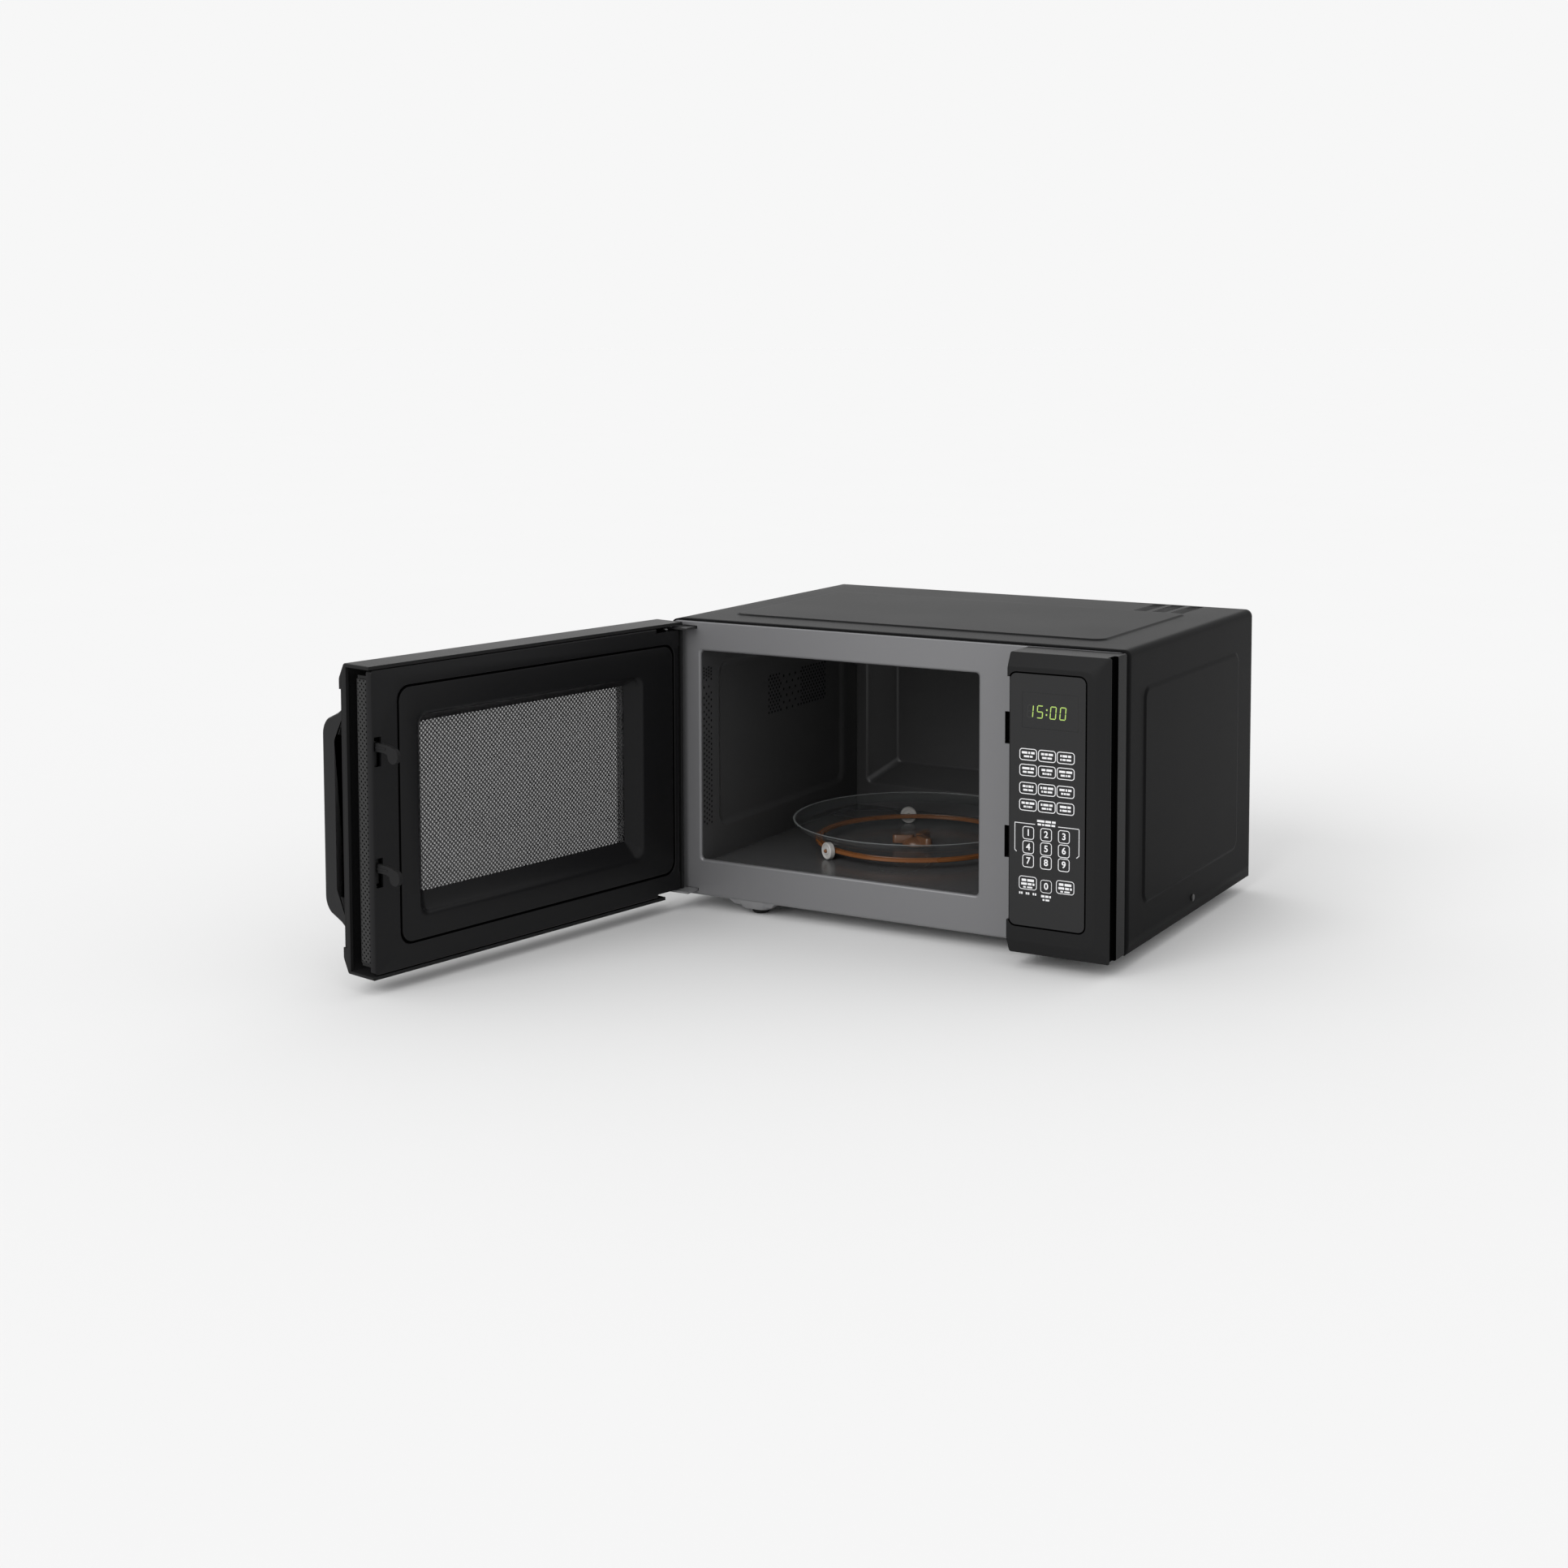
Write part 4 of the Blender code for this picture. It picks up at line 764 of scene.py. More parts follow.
def build_coupler(look):
    """Round hub with three lobes that carry the tray."""
    profile = [(0, -9), (3.6, -9), (3.6, 1), (14, 1.2), (15.2, 2.2), (15, 4.5), (12.5, 7.5), (8, 9.4),
               (0, 10)]
    hub = spun(profile, (*TABLE, CAVITY_FLOOR), 48, CABINET, "coupler_hub", 50)
    outline, top = rounded((3, 25), (-4.2, 4.2), 4.0), rounded((3, 24), (-3.2, 3.2), 3.0)
    for number in range(3):
        place = turned((*TABLE, CAVITY_FLOOR), math.tau * number / 3 + math.radians(90))
        rings = [at_z(outline, 4), at_z(outline, 10.5), at_z(top, 12)]
        carve(hub, lofted(rings, place), operation="UNION")
    hub.data.set_sharp_from_angle(angle=math.radians(45))
    attach(hub, "coupler", look, ["turntable_coupler"])


# ---------------------------------------------------------------- mouldings of the door and the panel

def moulding(name, x, left_edge, right_edge, back, channel, where):
    """Body with bevelled front edges, round corners on its bevelled side and maybe a channel behind."""
    low, high = FRONT_Z
    rings = [ring(y, x, FRONT_Z, MOULD_CORNER) for y in (back, SHOULDER + 0.8)]
    if channel:
        start, end, depth = channel
        lower_x = (x[0] + (depth if left_edge else 0), x[1] - (depth if right_edge else 0))
        rings[1:1] = [ring(y, span, FRONT_Z, MOULD_CORNER)
                      for y, span in ((start, x), (start - 0.2, lower_x), (end + 0.2, lower_x), (end, x))]
    for share, y in ((0.0, SHOULDER + 0.2), (0.04, SHOULDER - 0.6), (0.92, FRONT + 0.35), (1.0, FRONT + 0.05),
                     (1.06, FRONT)):
        radii = [MOULD_CORNER + FRONT_CORNER * share * bool(edge) for edge in (left_edge, right_edge)]
        rings.append(ring(y, (x[0] + left_edge * share, x[1] - right_edge * share),
                          (low + BEVEL * share, high - BEVEL * share), tuple(radii)))
    return lofted(rings, where, name)


def hollow(x, left_edge, right_edge, front, where):
    """Room inside a moulding, a wall's thickness behind its faces."""
    inner = grown(x, -MOULD_WALL)
    low, high = grown(FRONT_Z, -MOULD_WALL)
    shoulder = SHOULDER + MOULD_WALL
    share = (shoulder - front) / (SHOULDER - FRONT)
    end_x = (inner[0] + left_edge * share, inner[1] - right_edge * share)
    end = rectangle(end_x, (low + BEVEL * share, high - BEVEL * share))
    return lofted([at_y(rectangle(inner, (low, high)), 5), at_y(rectangle(inner, (low, high)), shoulder),
                   at_y(end, front)], where)


def build_panel(looks):
    """Panel moulding with its channel, the shallow seat of the keypad and the hole of the display. The
    channel and the groove round the keypad get a near-black painted shade.
    """
    panel = moulding("panel_moulding", PANEL_X, 0.0, BEVEL, -0.3, CHANNEL, CABINET)
    seat = [ring(y, grown(KEYPAD_X, by), grown(KEYPAD_Z, by), 7.4)
            for y, by in ((FRONT - 3, 1.7), (FRONT + 1.8, 1.4))]
    carve(panel, hollow(PANEL_X, 0.0, BEVEL, -38.0, CABINET), lofted(seat, CABINET),
          tool_box(grown(LENS_X, 0.3), (-60, -30), grown(LENS_Z, 0.3), CABINET),
          tool_box((PANEL_X[0] - 3, PANEL_X[0] + 1.9), (-60, FRONT + 5), PANEL_NOTCH_Z, CABINET))

    # in_shadow picks the faces that get the near-black painted shade: the channel in the panel's side and the
    # walls of the keypad's seat
    def in_shadow(p):
        if CHANNEL[1] - 0.1 < p.y < CHANNEL[0] + 0.1 and PANEL_X[1] - 4 < p.x < PANEL_X[1] - 0.2:
            return True
        near_keypad = within(p.x, p.z, grown(KEYPAD_X, 1.9), grown(KEYPAD_Z, 1.9))
        return near_keypad and FRONT + 0.3 < p.y < FRONT + 2.0

    paint(panel, CABINET, looks["moulding"], looks["channel"], in_shadow)
    soften(panel, 0.35)
    attach(panel, "cabinet", None, ["control_panel"])


SEGMENTS = {"a": ((0, 1), (1, 1)), "b": ((1, 1), (1, 0.5)), "c": ((1, 0.5), (1, 0)), "d": ((0, 0), (1, 0)),
            "e": ((0, 0), (0, 0.5)), "f": ((0, 0.5), (0, 1)), "g": ((0, 0.5), (1, 0.5))}
FIGURES = {"1": "bc", "5": "afgcd", "0": "abcdef"}


def stroke(bm, start, end, width, y):
    """A flat bar with pointed ends between two points of the panel's face."""
    along = Vector((end[0] - start[0], end[1] - start[1]))
    length = along.length
    along.normalize()
    side = Vector((-along.y, along.x)) * width / 2
    point = along * width / 2
    a, b = Vector(start) + along * width * 0.15, Vector(start) + along * (length - width * 0.15)
    shape = [a, a + point + side, b - point + side, b, b - point - side, a + point - side]
    loft(bm, [[(p.x, y, p.y) for p in shape], [(p.x, y - 0.15, p.y) for p in shape]], True, True)


def build_display(looks):
    """Seven-segment figures on the face of the dark filter, with the unlit bars of the first place."""
    left, base, wide, tall, pitch = 164.6, 231.6, 5.2, 10.9, 9.4
    y = (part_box("display_window")[0].y - CABINET.translation.y) / MM + 0.05
    lit, unlit = bmesh.new(), bmesh.new()
    for place, figure in enumerate("1500"):
        x = left + pitch * place + (3.4 if place > 1 else 0)
        for key, (start, end) in SEGMENTS.items():
            ends = [(x + wide * u + 0.9 * v, base + tall * v) for u, v in (start, end)]
            if key in FIGURES[figure] or place == 0:
                stroke(lit if key in FIGURES[figure] else unlit, *ends, 0.85, y)
    for level in (0.3, 0.7):
        x, z = left + 2 * pitch - 0.3 + 0.9 * level, base + tall * level
        box(lit, (x - 0.65, x + 0.65), (y - 0.15, y), (z - 0.75, z + 0.75))
    attach(new_object("display_figures", lit, CABINET), "cabinet", looks["digits"])
    attach(new_object("display_unlit", unlit, CABINET), "cabinet", looks["unlit"])


PRINT = 0.06                  # thickness of the printing
PRINT_Y = FRONT + 0.1 - PRINT
PRINT_BACK = PRINT_Y + PRINT
NUMBER_X = (166.4, 183.8, 201.1)
NUMBER_Z = (126.6, 113.7, 101.1)
WORDS = ((3, 1, 2), (2, 2, 3), (1, 3, 2), (4, 2), (2, 3), (3, 3), (2, 1, 2, 1), (1, 2, 3))


def build_keypad(look):
    """Flat keypad sheet with the hole of the display."""
    bm = bmesh.new()
    loops = [rounded(KEYPAD_X, KEYPAD_Z, 6.0, 6), rectangle(grown(LENS_X, 0.1), grown(LENS_Z, 0.1))]
    faces = (FRONT + 0.1, FRONT + 0.9)
    for y in faces:
        fill(bm, [at_y(loop, y) for loop in loops])
    for loop in loops:
        loft(bm, [at_y(loop, y) for y in faces])
    attach(new_object("keypad_sheet", bm, CABINET), "cabinet", look, ["keypad_membrane"])


def outline_ring(bm, x, z, radius, width):
    """A thin printed line round a key."""
    outer = rounded(x, z, radius, 4)
    inner = rounded(grown(x, -width), grown(z, -width), radius - width, 4)
    rows = [at_y(outer, PRINT_BACK), at_y(outer, PRINT_Y), at_y(inner, PRINT_Y), at_y(inner, PRINT_BACK)]
    loft(bm, rows + [rows[0]])


def bar(bm, x, z):
    box(bm, x, (PRINT_Y, PRINT_BACK), z)


def dashes(bm, centre_x, z, height, width, pattern):
    """A row of short bars in place of a word."""
    total = sum(pattern) + 0.5 * (len(pattern) - 1)
    x = centre_x - width / 2
    for part in pattern:
        step = part / total * width
        bar(bm, (x, x + step), (z, z + height))
        x += step + 0.5 / total * width


def print_menu_keys(bm):
    """Four rows of three keys, each with two rows of bars."""
    for row, z in enumerate((197.7, 183.5, 167.2, 152.0)):
        for column, x in enumerate((165.9, 184.2, 202.3)):
            outline_ring(bm, (x - 8.6, x + 8.6), (z - 5.4, z + 5.4), 2.8, 0.7)
            upper, lower = WORDS[(3 * row + column) % len(WORDS)], WORDS[(row + 2 * column + 3) % len(WORDS)]
            dashes(bm, x, z + 0.6, 2.0, 12.5 - (row + column) % 3, upper)
            dashes(bm, x, z - 2.6, 1.7, 8.5 + (row * 2 + column) % 3, lower)


def print_number_keys(bm):
    """Outlines of the number keys and the two wide keys beside the zero."""
    for z in NUMBER_Z:
        for x in NUMBER_X:
            outline_ring(bm, (x - 5.6, x + 5.6), (z - 5.9, z + 5.9), 2.6, 0.65)
    outline_ring(bm, (178.6, 189.6), (73.8, 85.6), 2.6, 0.5)
    for x in (166.2, 202.6):
        outline_ring(bm, (x - 8.8, x + 8.8), (74.9, 87.1), 2.8, 0.6)
        for word in ((82.3, 2.2, 12, (2, 3)), (79.0, 2.0, 13, (3, 2, 1)), (76.4, 1.3, 9, (1, 2))):
            dashes(bm, x, *word)


def build_key_print(look):
    """All the flat printing: key outlines, bars in place of words, brackets beside the numbers."""
    bm = bmesh.new()
    print_menu_keys(bm)
    print_number_keys(bm)
    for x in (159.4, 166.0, 172.8):
        dashes(bm, x, 70.4, 2.0, 3.4, (1, 1))
    for word in ((184.1, 69.6, 2.0, 9.5, (2, 2, 1)), (184.1, 66.6, 1.6, 6.5, (1, 2)),
                 (184.0, 137.6, 1.9, 18, (4, 3, 2)), (184.0, 134.6, 1.7, 17, (2, 1, 3, 2))):
        dashes(bm, *word)
    for side, x in ((1, 152.9), (-1, 215.4)):
        bar(bm, (x, x + 0.6), (110.5, 134.8))
        bar(bm, sorted((x, x + side * 20.0)), (134.8, 135.4))
        for k in range(3):
            low = 109.9 - 0.6 * k
            bar(bm, sorted((x + side * 0.7 * k, x + side * (0.7 * k + 0.8))), (low, low + 0.7))
    attach(new_object("key_print", bm, CABINET), "cabinet", look)


def build_numbers(look):
    """The figures on the number keys, raised a little over the sheet."""
    places = [(x, z) for z in NUMBER_Z for x in NUMBER_X] + [(184.1, 79.7)]
    for figure, (x, z) in zip("1234567890", places):
        text = bpy.data.curves.new(f"number_{figure}", "FONT")
        text.body = figure
        text.size = 8.4
        text.extrude = 0.04
        text.offset = 0.16
        text.align_x = "CENTER"
        text.align_y = "CENTER"
        item = bpy.data.objects.new(f"number_{figure}", text)
        bpy.context.collection.objects.link(item)
        upright = Matrix.Translation((x, PRINT_Y + 0.02, z)) @ Matrix.Rotation(math.radians(90), 4, "X")
        item.matrix_world = CABINET @ upright
        bpy.context.view_layer.update()
        mesh = bpy.data.meshes.new_from_object(item.evaluated_get(bpy.context.evaluated_depsgraph_get()))
        mesh.transform(item.matrix_world)
        bpy.data.objects.remove(item, do_unlink=True)
        solid = bpy.data.objects.new(f"number_{figure}", mesh)
        bpy.context.collection.objects.link(solid)
        attach(solid, "cabinet", look)


# ---------------------------------------------------------------- door

GLASS_X = (-196.0, 94.0)
GLASS_Z = (56.0, 247.0)
WINDOW_X = (-172.0, 79.0)
WINDOW_Z = (79.0, 232.0)
RECESS_X = (-186.0, 91.0)
RECESS_Z = (61.0, 242.0)
RECESS_CORNER = 10.0
SEAL_X = (-236.0, 141.4)
SEAL_Z = (18.3, 285.0)
PAN_X = (-203.0, 139.4)
PAN_Z = (24.0, 279.5)
PAN_Y = (-21.5, -8.2)
SCREEN_Y = -15.3
SCREEN_CELL = 2.2
SCREEN_HOLE = 1.8
HANDLE_X = (109.0, 135.0)
SCREWS_Z = (63.0, 235.0)


def build_door_shell(looks):
    """Outer moulding with bevels, window, hinge bores and an open free side."""
    shell = moulding("door_moulding", DOOR_X, BEVEL, 0.0, -2.0, None, DOOR)
    low, high = HINGE_LEVELS
    tools = [hollow(DOOR_X, BEVEL, 0.0, -38.5, DOOR),
             tool_box((DOOR_X[1] - 5, DOOR_X[1] + 5), (-33, 5), grown(FRONT_Z, -MOULD_WALL), DOOR),
             tool_box((DOOR_X[1] - 1.9, DOOR_X[1] + 3), (-60, FRONT + 5), DOOR_NOTCH_Z, DOOR)]
    for by, y, radius in ((0.3, FRONT + 2.5, 4.0), (-8, -30, 3.0)):
        window = [ring(depth, grown(GLASS_X, by), grown(GLASS_Z, by), radius) for depth in (-60, y)]
        tools.append(lofted(window, DOOR))
    tools += [tool_rod((sum(HANDLE_X) / 2, 0, z), 2.5, (-60, -30), DOOR, 16, "Y") for z in SCREWS_Z]
    carve(shell, *tools)
    bosses = [tool_box((DOOR_X[0] + 1, -228), (-21, -4), z, DOOR)
              for z in ((low + 2, low + 18), (high - 18, high - 2))]
    carve(shell, *bosses, operation="UNION")
    notches = [tool_box((DOOR_X[0] - 3, -205), (-26, 5), (high - 2, FRONT_Z[1] - 3), DOOR),
               tool_box((DOOR_X[0] - 3, -216), (-26, 5), (0, low + 2), DOOR)]
    notches += [tool_rod((*PIN, 0), 3.3, span, DOOR, 24) for span in ((0, 42), (262, 284))]
    carve(shell, *notches)
    soften(shell, 0.35)
    attach(shell, "door", looks["moulding"], ["door_shell"])


def screen_lines(span, count):
    """Borders of the screen's cells, with the window's middle in the middle."""
    middle, half = sum(span) / 2, SCREEN_CELL * count / 2
    return steps_between(middle - half, middle + half, count)


SCREEN_XS = screen_lines(WINDOW_X, 114)
SCREEN_ZS = screen_lines(WINDOW_Z, 70)


def build_screen(look):
    """Fine screen of the window: square holes in a checked pattern, with walls through its thickness."""
    xs, zs, back = SCREEN_XS, SCREEN_ZS, SCREEN_Y - 0.3
    bm = bmesh.new()
    made = {}

    def face(*points):
        corners = []
        for x, y, z in points:
            key = (round(x, 3), round(y, 3), round(z, 3))
            if key not in made:
                made[key] = bm.verts.new((x, y, z))
            corners.append(made[key])
        bm.faces.new(corners)

    def side(start, end):
        """A face through the thickness of the screen, from its front edge between two points."""
        face((start[0], SCREEN_Y, start[1]), (end[0], SCREEN_Y, end[1]), (end[0], back, end[1]),
             (start[0], back, start[1]))

    edge = (SCREEN_CELL - SCREEN_HOLE) / 2
    for y in (SCREEN_Y, back):
        for i, x in enumerate(zip(xs, xs[1:])):
            for j, z in enumerate(zip(zs, zs[1:])):
                outer = rectangle(x, z)
                if (i + j) % 2:
                    face(*at_y(outer, y))
                    continue
                inner = rectangle(grown(x, -edge), grown(z, -edge))
                for k in range(4):
                    n = (k + 1) % 4
                    face(*at_y((outer[k], outer[n], inner[n], inner[k]), y))
                    if y == SCREEN_Y:
                        side(inner[k], inner[n])
    border = [(x, zs[0]) for x in xs[:-1]] + [(xs[-1], z) for z in zs[:-1]]
    border += [(x, zs[-1]) for x in xs[:0:-1]] + [(xs[0], z) for z in zs[:0:-1]]
    for start, end in zip(border, border[1:] + border[:1]):
        side(start, end)
    attach(new_object("door_screen", bm, DOOR, 60), "door", look)


def build_pan(look):
    """Plain walls of the choke's metal pan and the frame that holds the screen."""
    bm = bmesh.new()
    outside, inside = rectangle(PAN_X, PAN_Z), rectangle(grown(PAN_X, -0.8), grown(PAN_Z, -0.8))
    opening = rectangle(*[grown((cells[0], cells[-1]), -0.4) for cells in (SCREEN_XS, SCREEN_ZS)])
    front, back = SCREEN_Y - 0.6, SCREEN_Y + 0.35
    loft(bm, [at_y(outside, PAN_Y[0]), at_y(outside, PAN_Y[1]), at_y(inside, PAN_Y[1]), at_y(inside, back),
              at_y(opening, back), at_y(opening, front), at_y(inside, front), at_y(inside, PAN_Y[0]),
              at_y(outside, PAN_Y[0])])
    attach(new_object("door_pan", bm, DOOR, 30), "door", look, ["door_panel"])


def build_strip(look):
    """Strip of small holes over the free side of the pan."""
    bm = bmesh.new()
    columns, rows, hole = 5, 96, 0.95
    ys = steps_between(PAN_Y[0] + 0.2, PAN_Y[1] - 0.1, columns)
    zs = steps_between(PAN_Z[0] + 3, PAN_Z[1] - 3, rows)
    surface(bm, ys, zs, lambda y, z: (PAN_X[1] + 1.2, y, z), lambda i, j, y, z: None if (i + j) % 2 else hole)
    strip = thicken(new_object("choke_strip", bm, DOOR, 30, outward=False), 0.6)
    attach(strip, "door", look)


def build_choke_cover(looks):
    """Inner face of the door: rounded rim, pressed line and the smooth recess that leads to the screen. The
    bottom of the pressed line gets a near-black painted shade.
    """
    face, sunk = -1.0, 0.35
    line_x, line_z = (-230.0, 114.0), (38.0, 269.0)
    # rim: y, growth of the outline and corner radius
    rim = ((-7.8, 0.0, 3.0), (face - 1.4, 0.0, 3.0), (face - 0.5, -0.35, 2.8), (face, -1.2, 2.4))
    rings = [ring(y, grown(SEAL_X, by), grown(SEAL_Z, by), radius) for y, by, radius in rim]
    # pressed line: distance inward and depth; the face inside it lies a little lower
    pressed = ((0.0, 0.0), (0.5, 0.35), (1.0, 0.95), (1.5, 1.1), (2.1, 0.95), (2.7, 0.45), (3.3, sunk))
    for inset, drop in pressed:
        rings.append(ring(face - drop, grown(line_x, -inset), grown(line_z, -inset), 13.0 - inset * 0.5))
    roll = 5.0
    for turn in [math.radians(15 * k) for k in range(5)]:
        by = 2.0 - roll * math.sin(turn)
        y = face - sunk - roll * (1 - math.cos(turn))
        rings.append(ring(y, grown(RECESS_X, by), grown(RECESS_Z, by), RECESS_CORNER))
    start_y, end_y = rings[-1][0][1], -13.9
    top_x, top_z = grown(RECESS_X, -2.33), grown(RECESS_Z, -2.33)
    for share in steps_between(0.0, 1.0, 8)[1:]:
        ease = share ** 1.35
        rings.append(ring(start_y + (end_y - start_y) * share, between(top_x, WINDOW_X, ease),
                          between(top_z, WINDOW_Z, ease), RECESS_CORNER - 8.0 * share))
    back = [ring(-14.1, grown(WINDOW_X, 1.5), grown(WINDOW_Z, 1.5), 3.0),
            ring(-4.6, grown(RECESS_X, 1.5), grown(RECESS_Z, 1.5), RECESS_CORNER),
            ring(-3.2, grown(SEAL_X, -1.6), grown(SEAL_Z, -1.6), 2.0),
            ring(-7.8, grown(SEAL_X, -1.6), grown(SEAL_Z, -1.6), 2.0)]
    bm = bmesh.new()
    loft(bm, rings + back + [rings[0]])
    cover = new_object("door_inner_face", bm, DOOR)
    tools = [tool_box((131.8, 139.2), (-9, 5), (level - 12, level + 14), DOOR) for level in HOOK_LEVELS]
    tools += [tool_box((SEAL_X[0] - 3, -205), (-30, 5), z, DOOR)
              for z in ((0, HINGE_LEVELS[0] + 2.2), (HINGE_LEVELS[1] - 2.2, 300))]
    tools.append(tool_box((SEAL_X[0] - 3, -227), (-30, -3.2), (0, 300), DOOR))
    carve(cover, *tools)

    # Faces at the bottom of the pressed line, outside the recess, which get the near-black painted shade
    def painted_line_shade(p):
        return (face - 1.15 < p.y < face - 0.5 and within(p.x, p.z, grown(line_x, 0.2), grown(line_z, 0.2))
                and not within(p.x, p.z, grown(RECESS_X, 5), grown(RECESS_Z, 5)))

    paint(cover, DOOR, looks["inner"], looks["channel"], painted_line_shade)
    attach(cover, "door", None, ["choke_cover"])


def build_latch(looks):
    """Double hook: a bar in the door and two arms with round noses and a raised boss."""
    x = (133.6, 137.4)
    bm = bmesh.new()
    box(bm, x, (-11.5, -5), (HOOK_LEVELS[0] - 9, HOOK_LEVELS[1] + 10))
    hooks = new_object("double_hook", bm, DOOR, 35)
    nose, tip = 7.0, 28.0
    for level in HOOK_LEVELS:
        points = [(-6.5, level + 1.5), (9.5, level + 1.5), (11.5, level + 0.8)]
        points += [(tip - nose + nose * math.cos(turn), level + nose * math.sin(turn))
                   for turn in [math.radians(178 + 12 * k) for k in range(24)]]
        points += [(tip - nose - 3, level + 8.2), (8, level + 9), (-6.5, level + 9)]
        arm = lofted([at_x(points, x[0]), at_x(points, x[1])], DOOR)
        rib = tool_box((x[0] + 1.3, x[1] + 0.6), (-2, 12), (level + 4.4, level + 6.0), DOOR)
        carve(hooks, arm, rib, operation="UNION")
    soften(hooks, 0.5)
    attach(hooks, "latch", looks["moulding"], ["latch_hook"])


def build_handle(looks):
    """Upright bridge handle, soft on all edges, with its long finger gap."""
    start = FRONT - 0.3
    reach, grip = start - 36, start - 17

    def arc(y, z, radius, first, last):
        turns = [math.radians(turn) for turn in steps_between(first, last, 6)]
        return [(y + radius * math.cos(turn), z + radius * math.sin(turn)) for turn in turns]

    outline = [(start, 46), (start, 80)]
    outline += arc(grip + 6, 86, 6, -90, -180) + arc(grip + 6, 215, 6, 180, 90)
    outline += [(start, 221), (start, 251), (start - 3, 249.5), (start - 14, 242)]
    outline += arc(reach + 18, 221, 18, 125, 180) + arc(reach + 18, 76, 18, 180, 235)
    outline += [(start - 14, 55), (start - 3, 47.5)]
    handle = lofted([at_x(outline, x) for x in HANDLE_X], DOOR, "door_pull", 40)
    middle = sum(HANDLE_X) / 2
    carve(handle, *[tool_rod((middle, 0, z), 2.3, (start - 14, start + 5), DOOR, 16, "Y") for z in SCREWS_Z])
    soften(handle, 2.6, 5, 50)
    attach(handle, "door", looks["grip"], ["door_handle"])


# ---------------------------------------------------------------- nodes that keep their CAD shape

NODE_LOOKS = {
    "base": ("base_plate", "back_plate", "lower_hinge"),
    "rubber": ("foot_front_left", "foot_front_right", "foot_rear_left", "foot_rear_right", "cord_gland"),
    "screw": ("cover_screw_1", "cover_screw_2", "cover_screw_3", "handle_screw_lower", "handle_screw_upper",
              "latch_spring"),
    "black_screw": ("cover_screw_side",), "hinge_black": ("upper_hinge",),
    "zinc": ("waveguide", "magnetron", "high_voltage_capacitor", "turntable_motor"),
    "mica": ("waveguide_cover",), "core": ("high_voltage_transformer", "fan_motor"),
    "ceramic": ("high_voltage_diode", "thermal_cutout", "led_display"),
    "fan": ("fan_shroud", "fan_blade"), "bulb": ("oven_lamp",),
    "board": ("noise_filter_board", "control_board"), "moulding": ("latch_board",),
    "switch": ("primary_switch", "secondary_switch", "monitor_switch"),
    "nylon": ("primary_plunger", "secondary_plunger", "monitor_plunger"),
    "keypad": ("display_window",), "door_glass": ("door_glass",), "film": ("window_film",),
}
SHARP_NODES = ("display_window", "door_glass", "window_film", "latch_spring", "oven_lamp")


def finish_nodes(looks):
    for key, names in NODE_LOOKS.items():
        for name in names:
            item = frame["nodes"][name]
            item.data.materials.clear()
            item.data.materials.append(looks[key])
            if name not in SHARP_NODES:
                weld = item.modifiers.new("Weld", "WELD")
                weld.merge_threshold = 0.00002
                soften(item, 0.25, 2, 40)


# ---------------------------------------------------------------- floor, light and camera

BACKDROP = 0.93               # brightness of the backdrop and of the lit floor
FLOOR_RADIUS = 60.0           # in metres
# name, direction towards the lamp, strength and spread in degrees
SUNS = (("key", (-0.18, -0.85, 0.50), 1.5, 40.0), ("back", (-0.55, 0.75, 0.75), 0.3, 60.0))


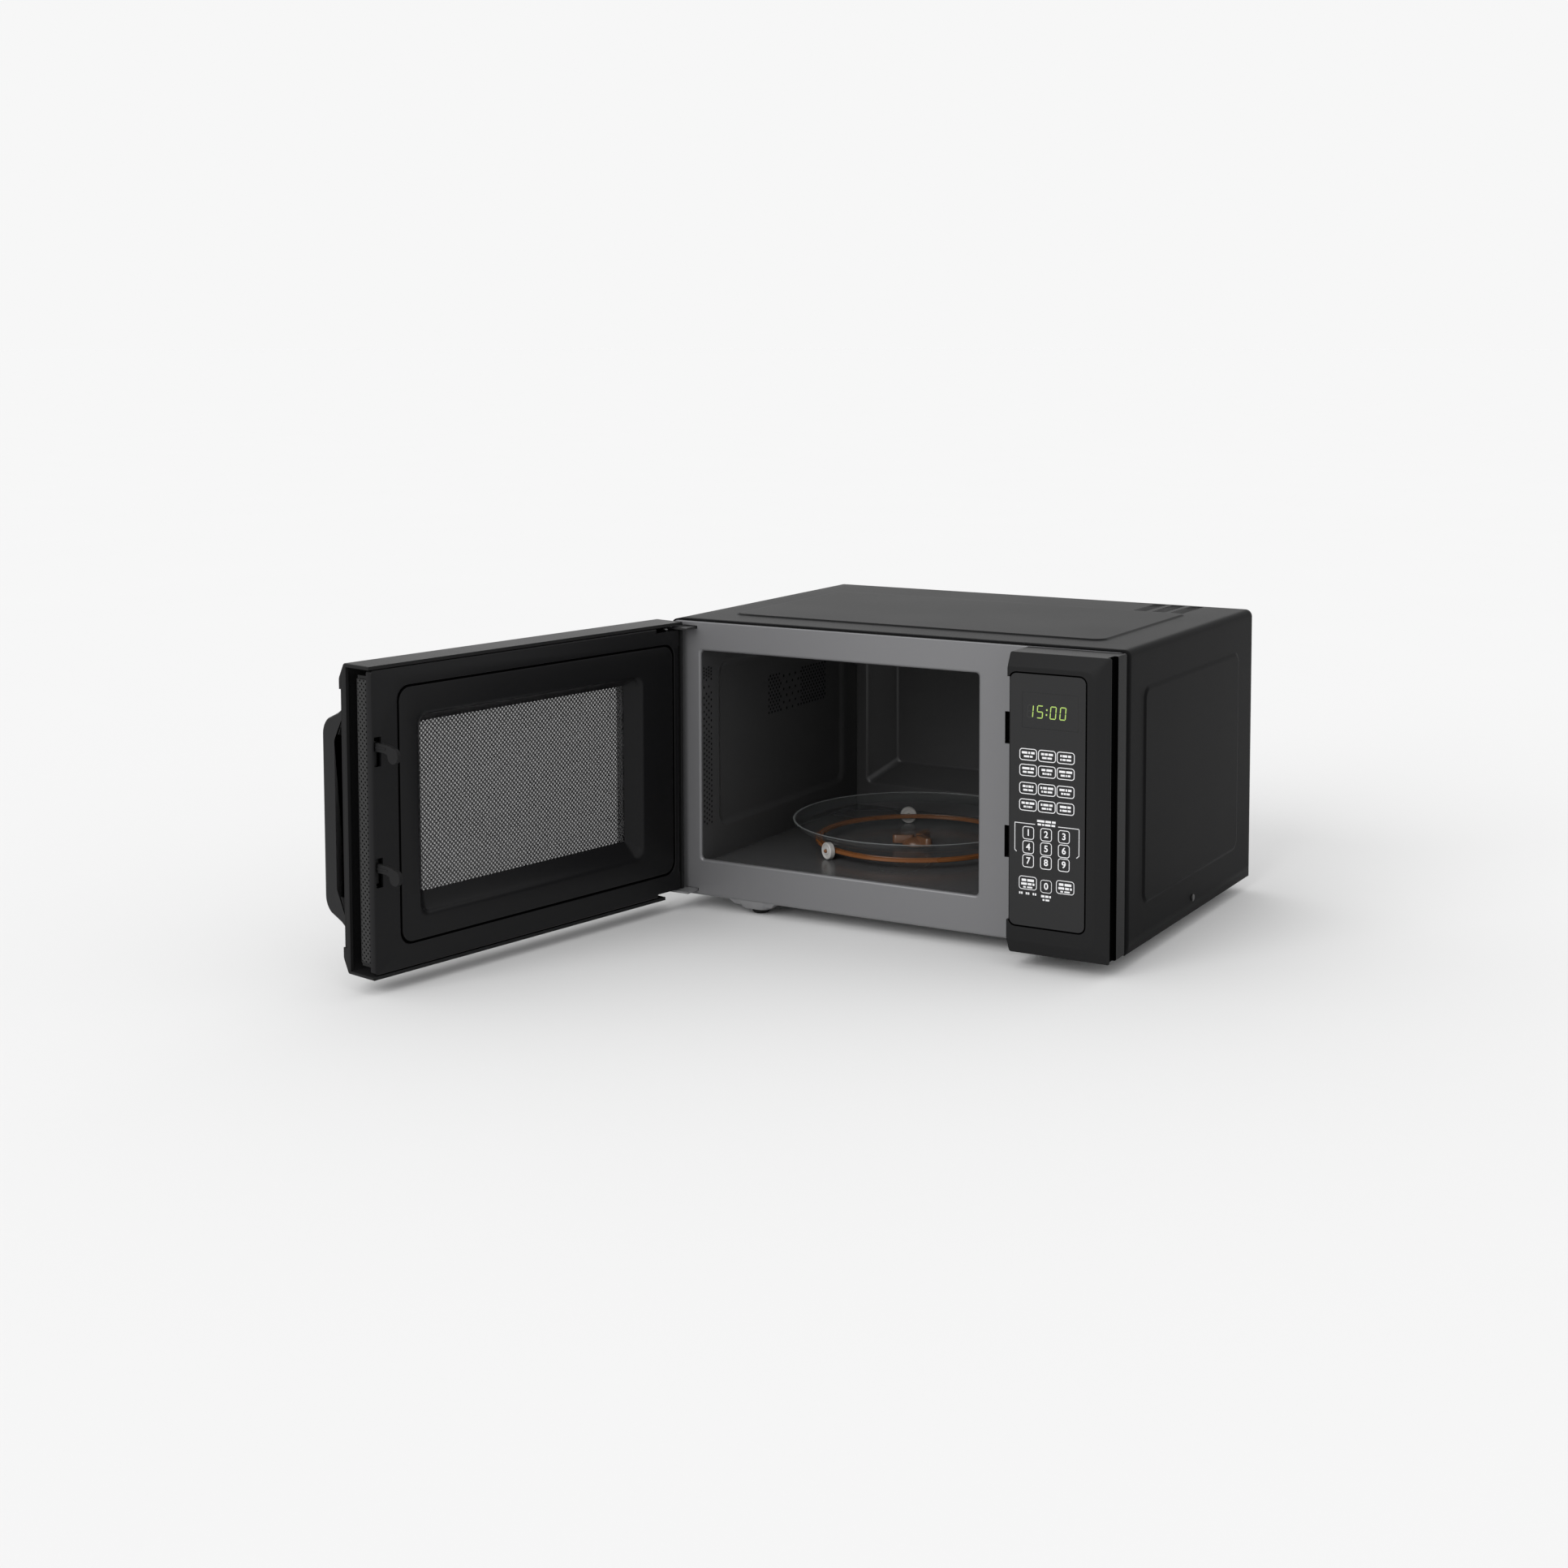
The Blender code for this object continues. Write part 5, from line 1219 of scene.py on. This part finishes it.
def build_studio():
    """Pale floor and backdrop of one tone. The floor's own colour makes up for what the lamps add to it."""
    scene = bpy.context.scene
    lit = BACKDROP
    for name, toward, strength, spread in SUNS:
        data = bpy.data.lights.new(name, "SUN")
        data.energy = strength
        data.angle = math.radians(spread)
        lamp = bpy.data.objects.new(name, data)
        scene.collection.objects.link(lamp)
        lamp.rotation_euler = Vector(toward).to_track_quat("Z", "Y").to_euler()
        lit += strength * Vector(toward).normalized().z / math.pi
    shade = BACKDROP / lit

    look, add, coords = start_look("studio_floor")
    fine = add("ShaderNodeTexNoise", {"Scale": 3.0, "Detail": 3.0}, {"Vector": coords}).outputs["Fac"]
    tint = blend(add, [shade * 0.995] * 3, [shade * 1.005] * 3, fine)
    finish_look(look, {"Roughness": 1.0, "Specular IOR Level": 0.0}, {"Base Color": tint})
    bm = bmesh.new()
    bmesh.ops.create_circle(bm, cap_ends=True, segments=96, radius=FLOOR_RADIUS)
    mesh = bpy.data.meshes.new("floor")
    bm.to_mesh(mesh)
    bm.free()
    floor = bpy.data.objects.new("floor", mesh)
    scene.collection.objects.link(floor)
    mesh.materials.append(look)

    world = bpy.data.worlds.new("studio")
    scene.world = world
    world.use_nodes = True
    world.node_tree.nodes["Background"].inputs["Color"].default_value = (1, 1, 1, 1)
    world.node_tree.nodes["Background"].inputs["Strength"].default_value = BACKDROP


def build_camera():
    """Camera to the right of the front and a little above, with a long lens and a shifted frame."""
    azimuth, elevation, distance = math.radians(28.72), math.radians(4.4715), 2121.1
    target = Vector((-28.55, 0.0, 412.81))
    level = math.cos(elevation)
    back = Vector((math.sin(azimuth) * level, -math.cos(azimuth) * level, math.sin(elevation)))
    data = bpy.data.cameras.new("camera")
    data.sensor_width = 36.0
    data.lens = 51.54
    data.shift_x = -0.0487
    data.shift_y = -0.179
    data.clip_end = 200.0
    camera = bpy.data.objects.new("camera", data)
    bpy.context.collection.objects.link(camera)
    camera.location = CABINET @ (target + back * distance)
    camera.rotation_euler = (-back).to_track_quat("-Z", "Y").to_euler()
    scene = bpy.context.scene
    scene.camera = camera
    scene.view_settings.view_transform = "Standard"


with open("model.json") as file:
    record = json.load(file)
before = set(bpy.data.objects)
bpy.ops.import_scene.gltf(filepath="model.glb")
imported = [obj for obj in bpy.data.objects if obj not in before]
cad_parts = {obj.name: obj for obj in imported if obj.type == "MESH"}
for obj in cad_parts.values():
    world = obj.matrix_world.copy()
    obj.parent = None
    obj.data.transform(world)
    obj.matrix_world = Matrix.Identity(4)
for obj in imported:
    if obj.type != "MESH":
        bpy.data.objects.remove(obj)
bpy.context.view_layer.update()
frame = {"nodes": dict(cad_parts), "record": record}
CABINET, DOOR = find_frames()
looks = make_looks()
build_cover(looks["cover"])
build_front_frame(looks["frame"])
build_foot_pads(looks["base"])
build_cavity(looks)
build_tray(looks)
build_ring(looks)
build_coupler(looks["hub"])
build_panel(looks)
build_display(looks)
build_keypad(looks["keypad"])
build_key_print(looks["print"])
build_numbers(looks["print"])
build_door_shell(looks)
build_screen(looks["screen"])
build_pan(looks["inner"])
build_strip(looks["strip"])
build_choke_cover(looks)
build_latch(looks)
build_handle(looks)
finish_nodes(looks)
build_studio()
build_camera()
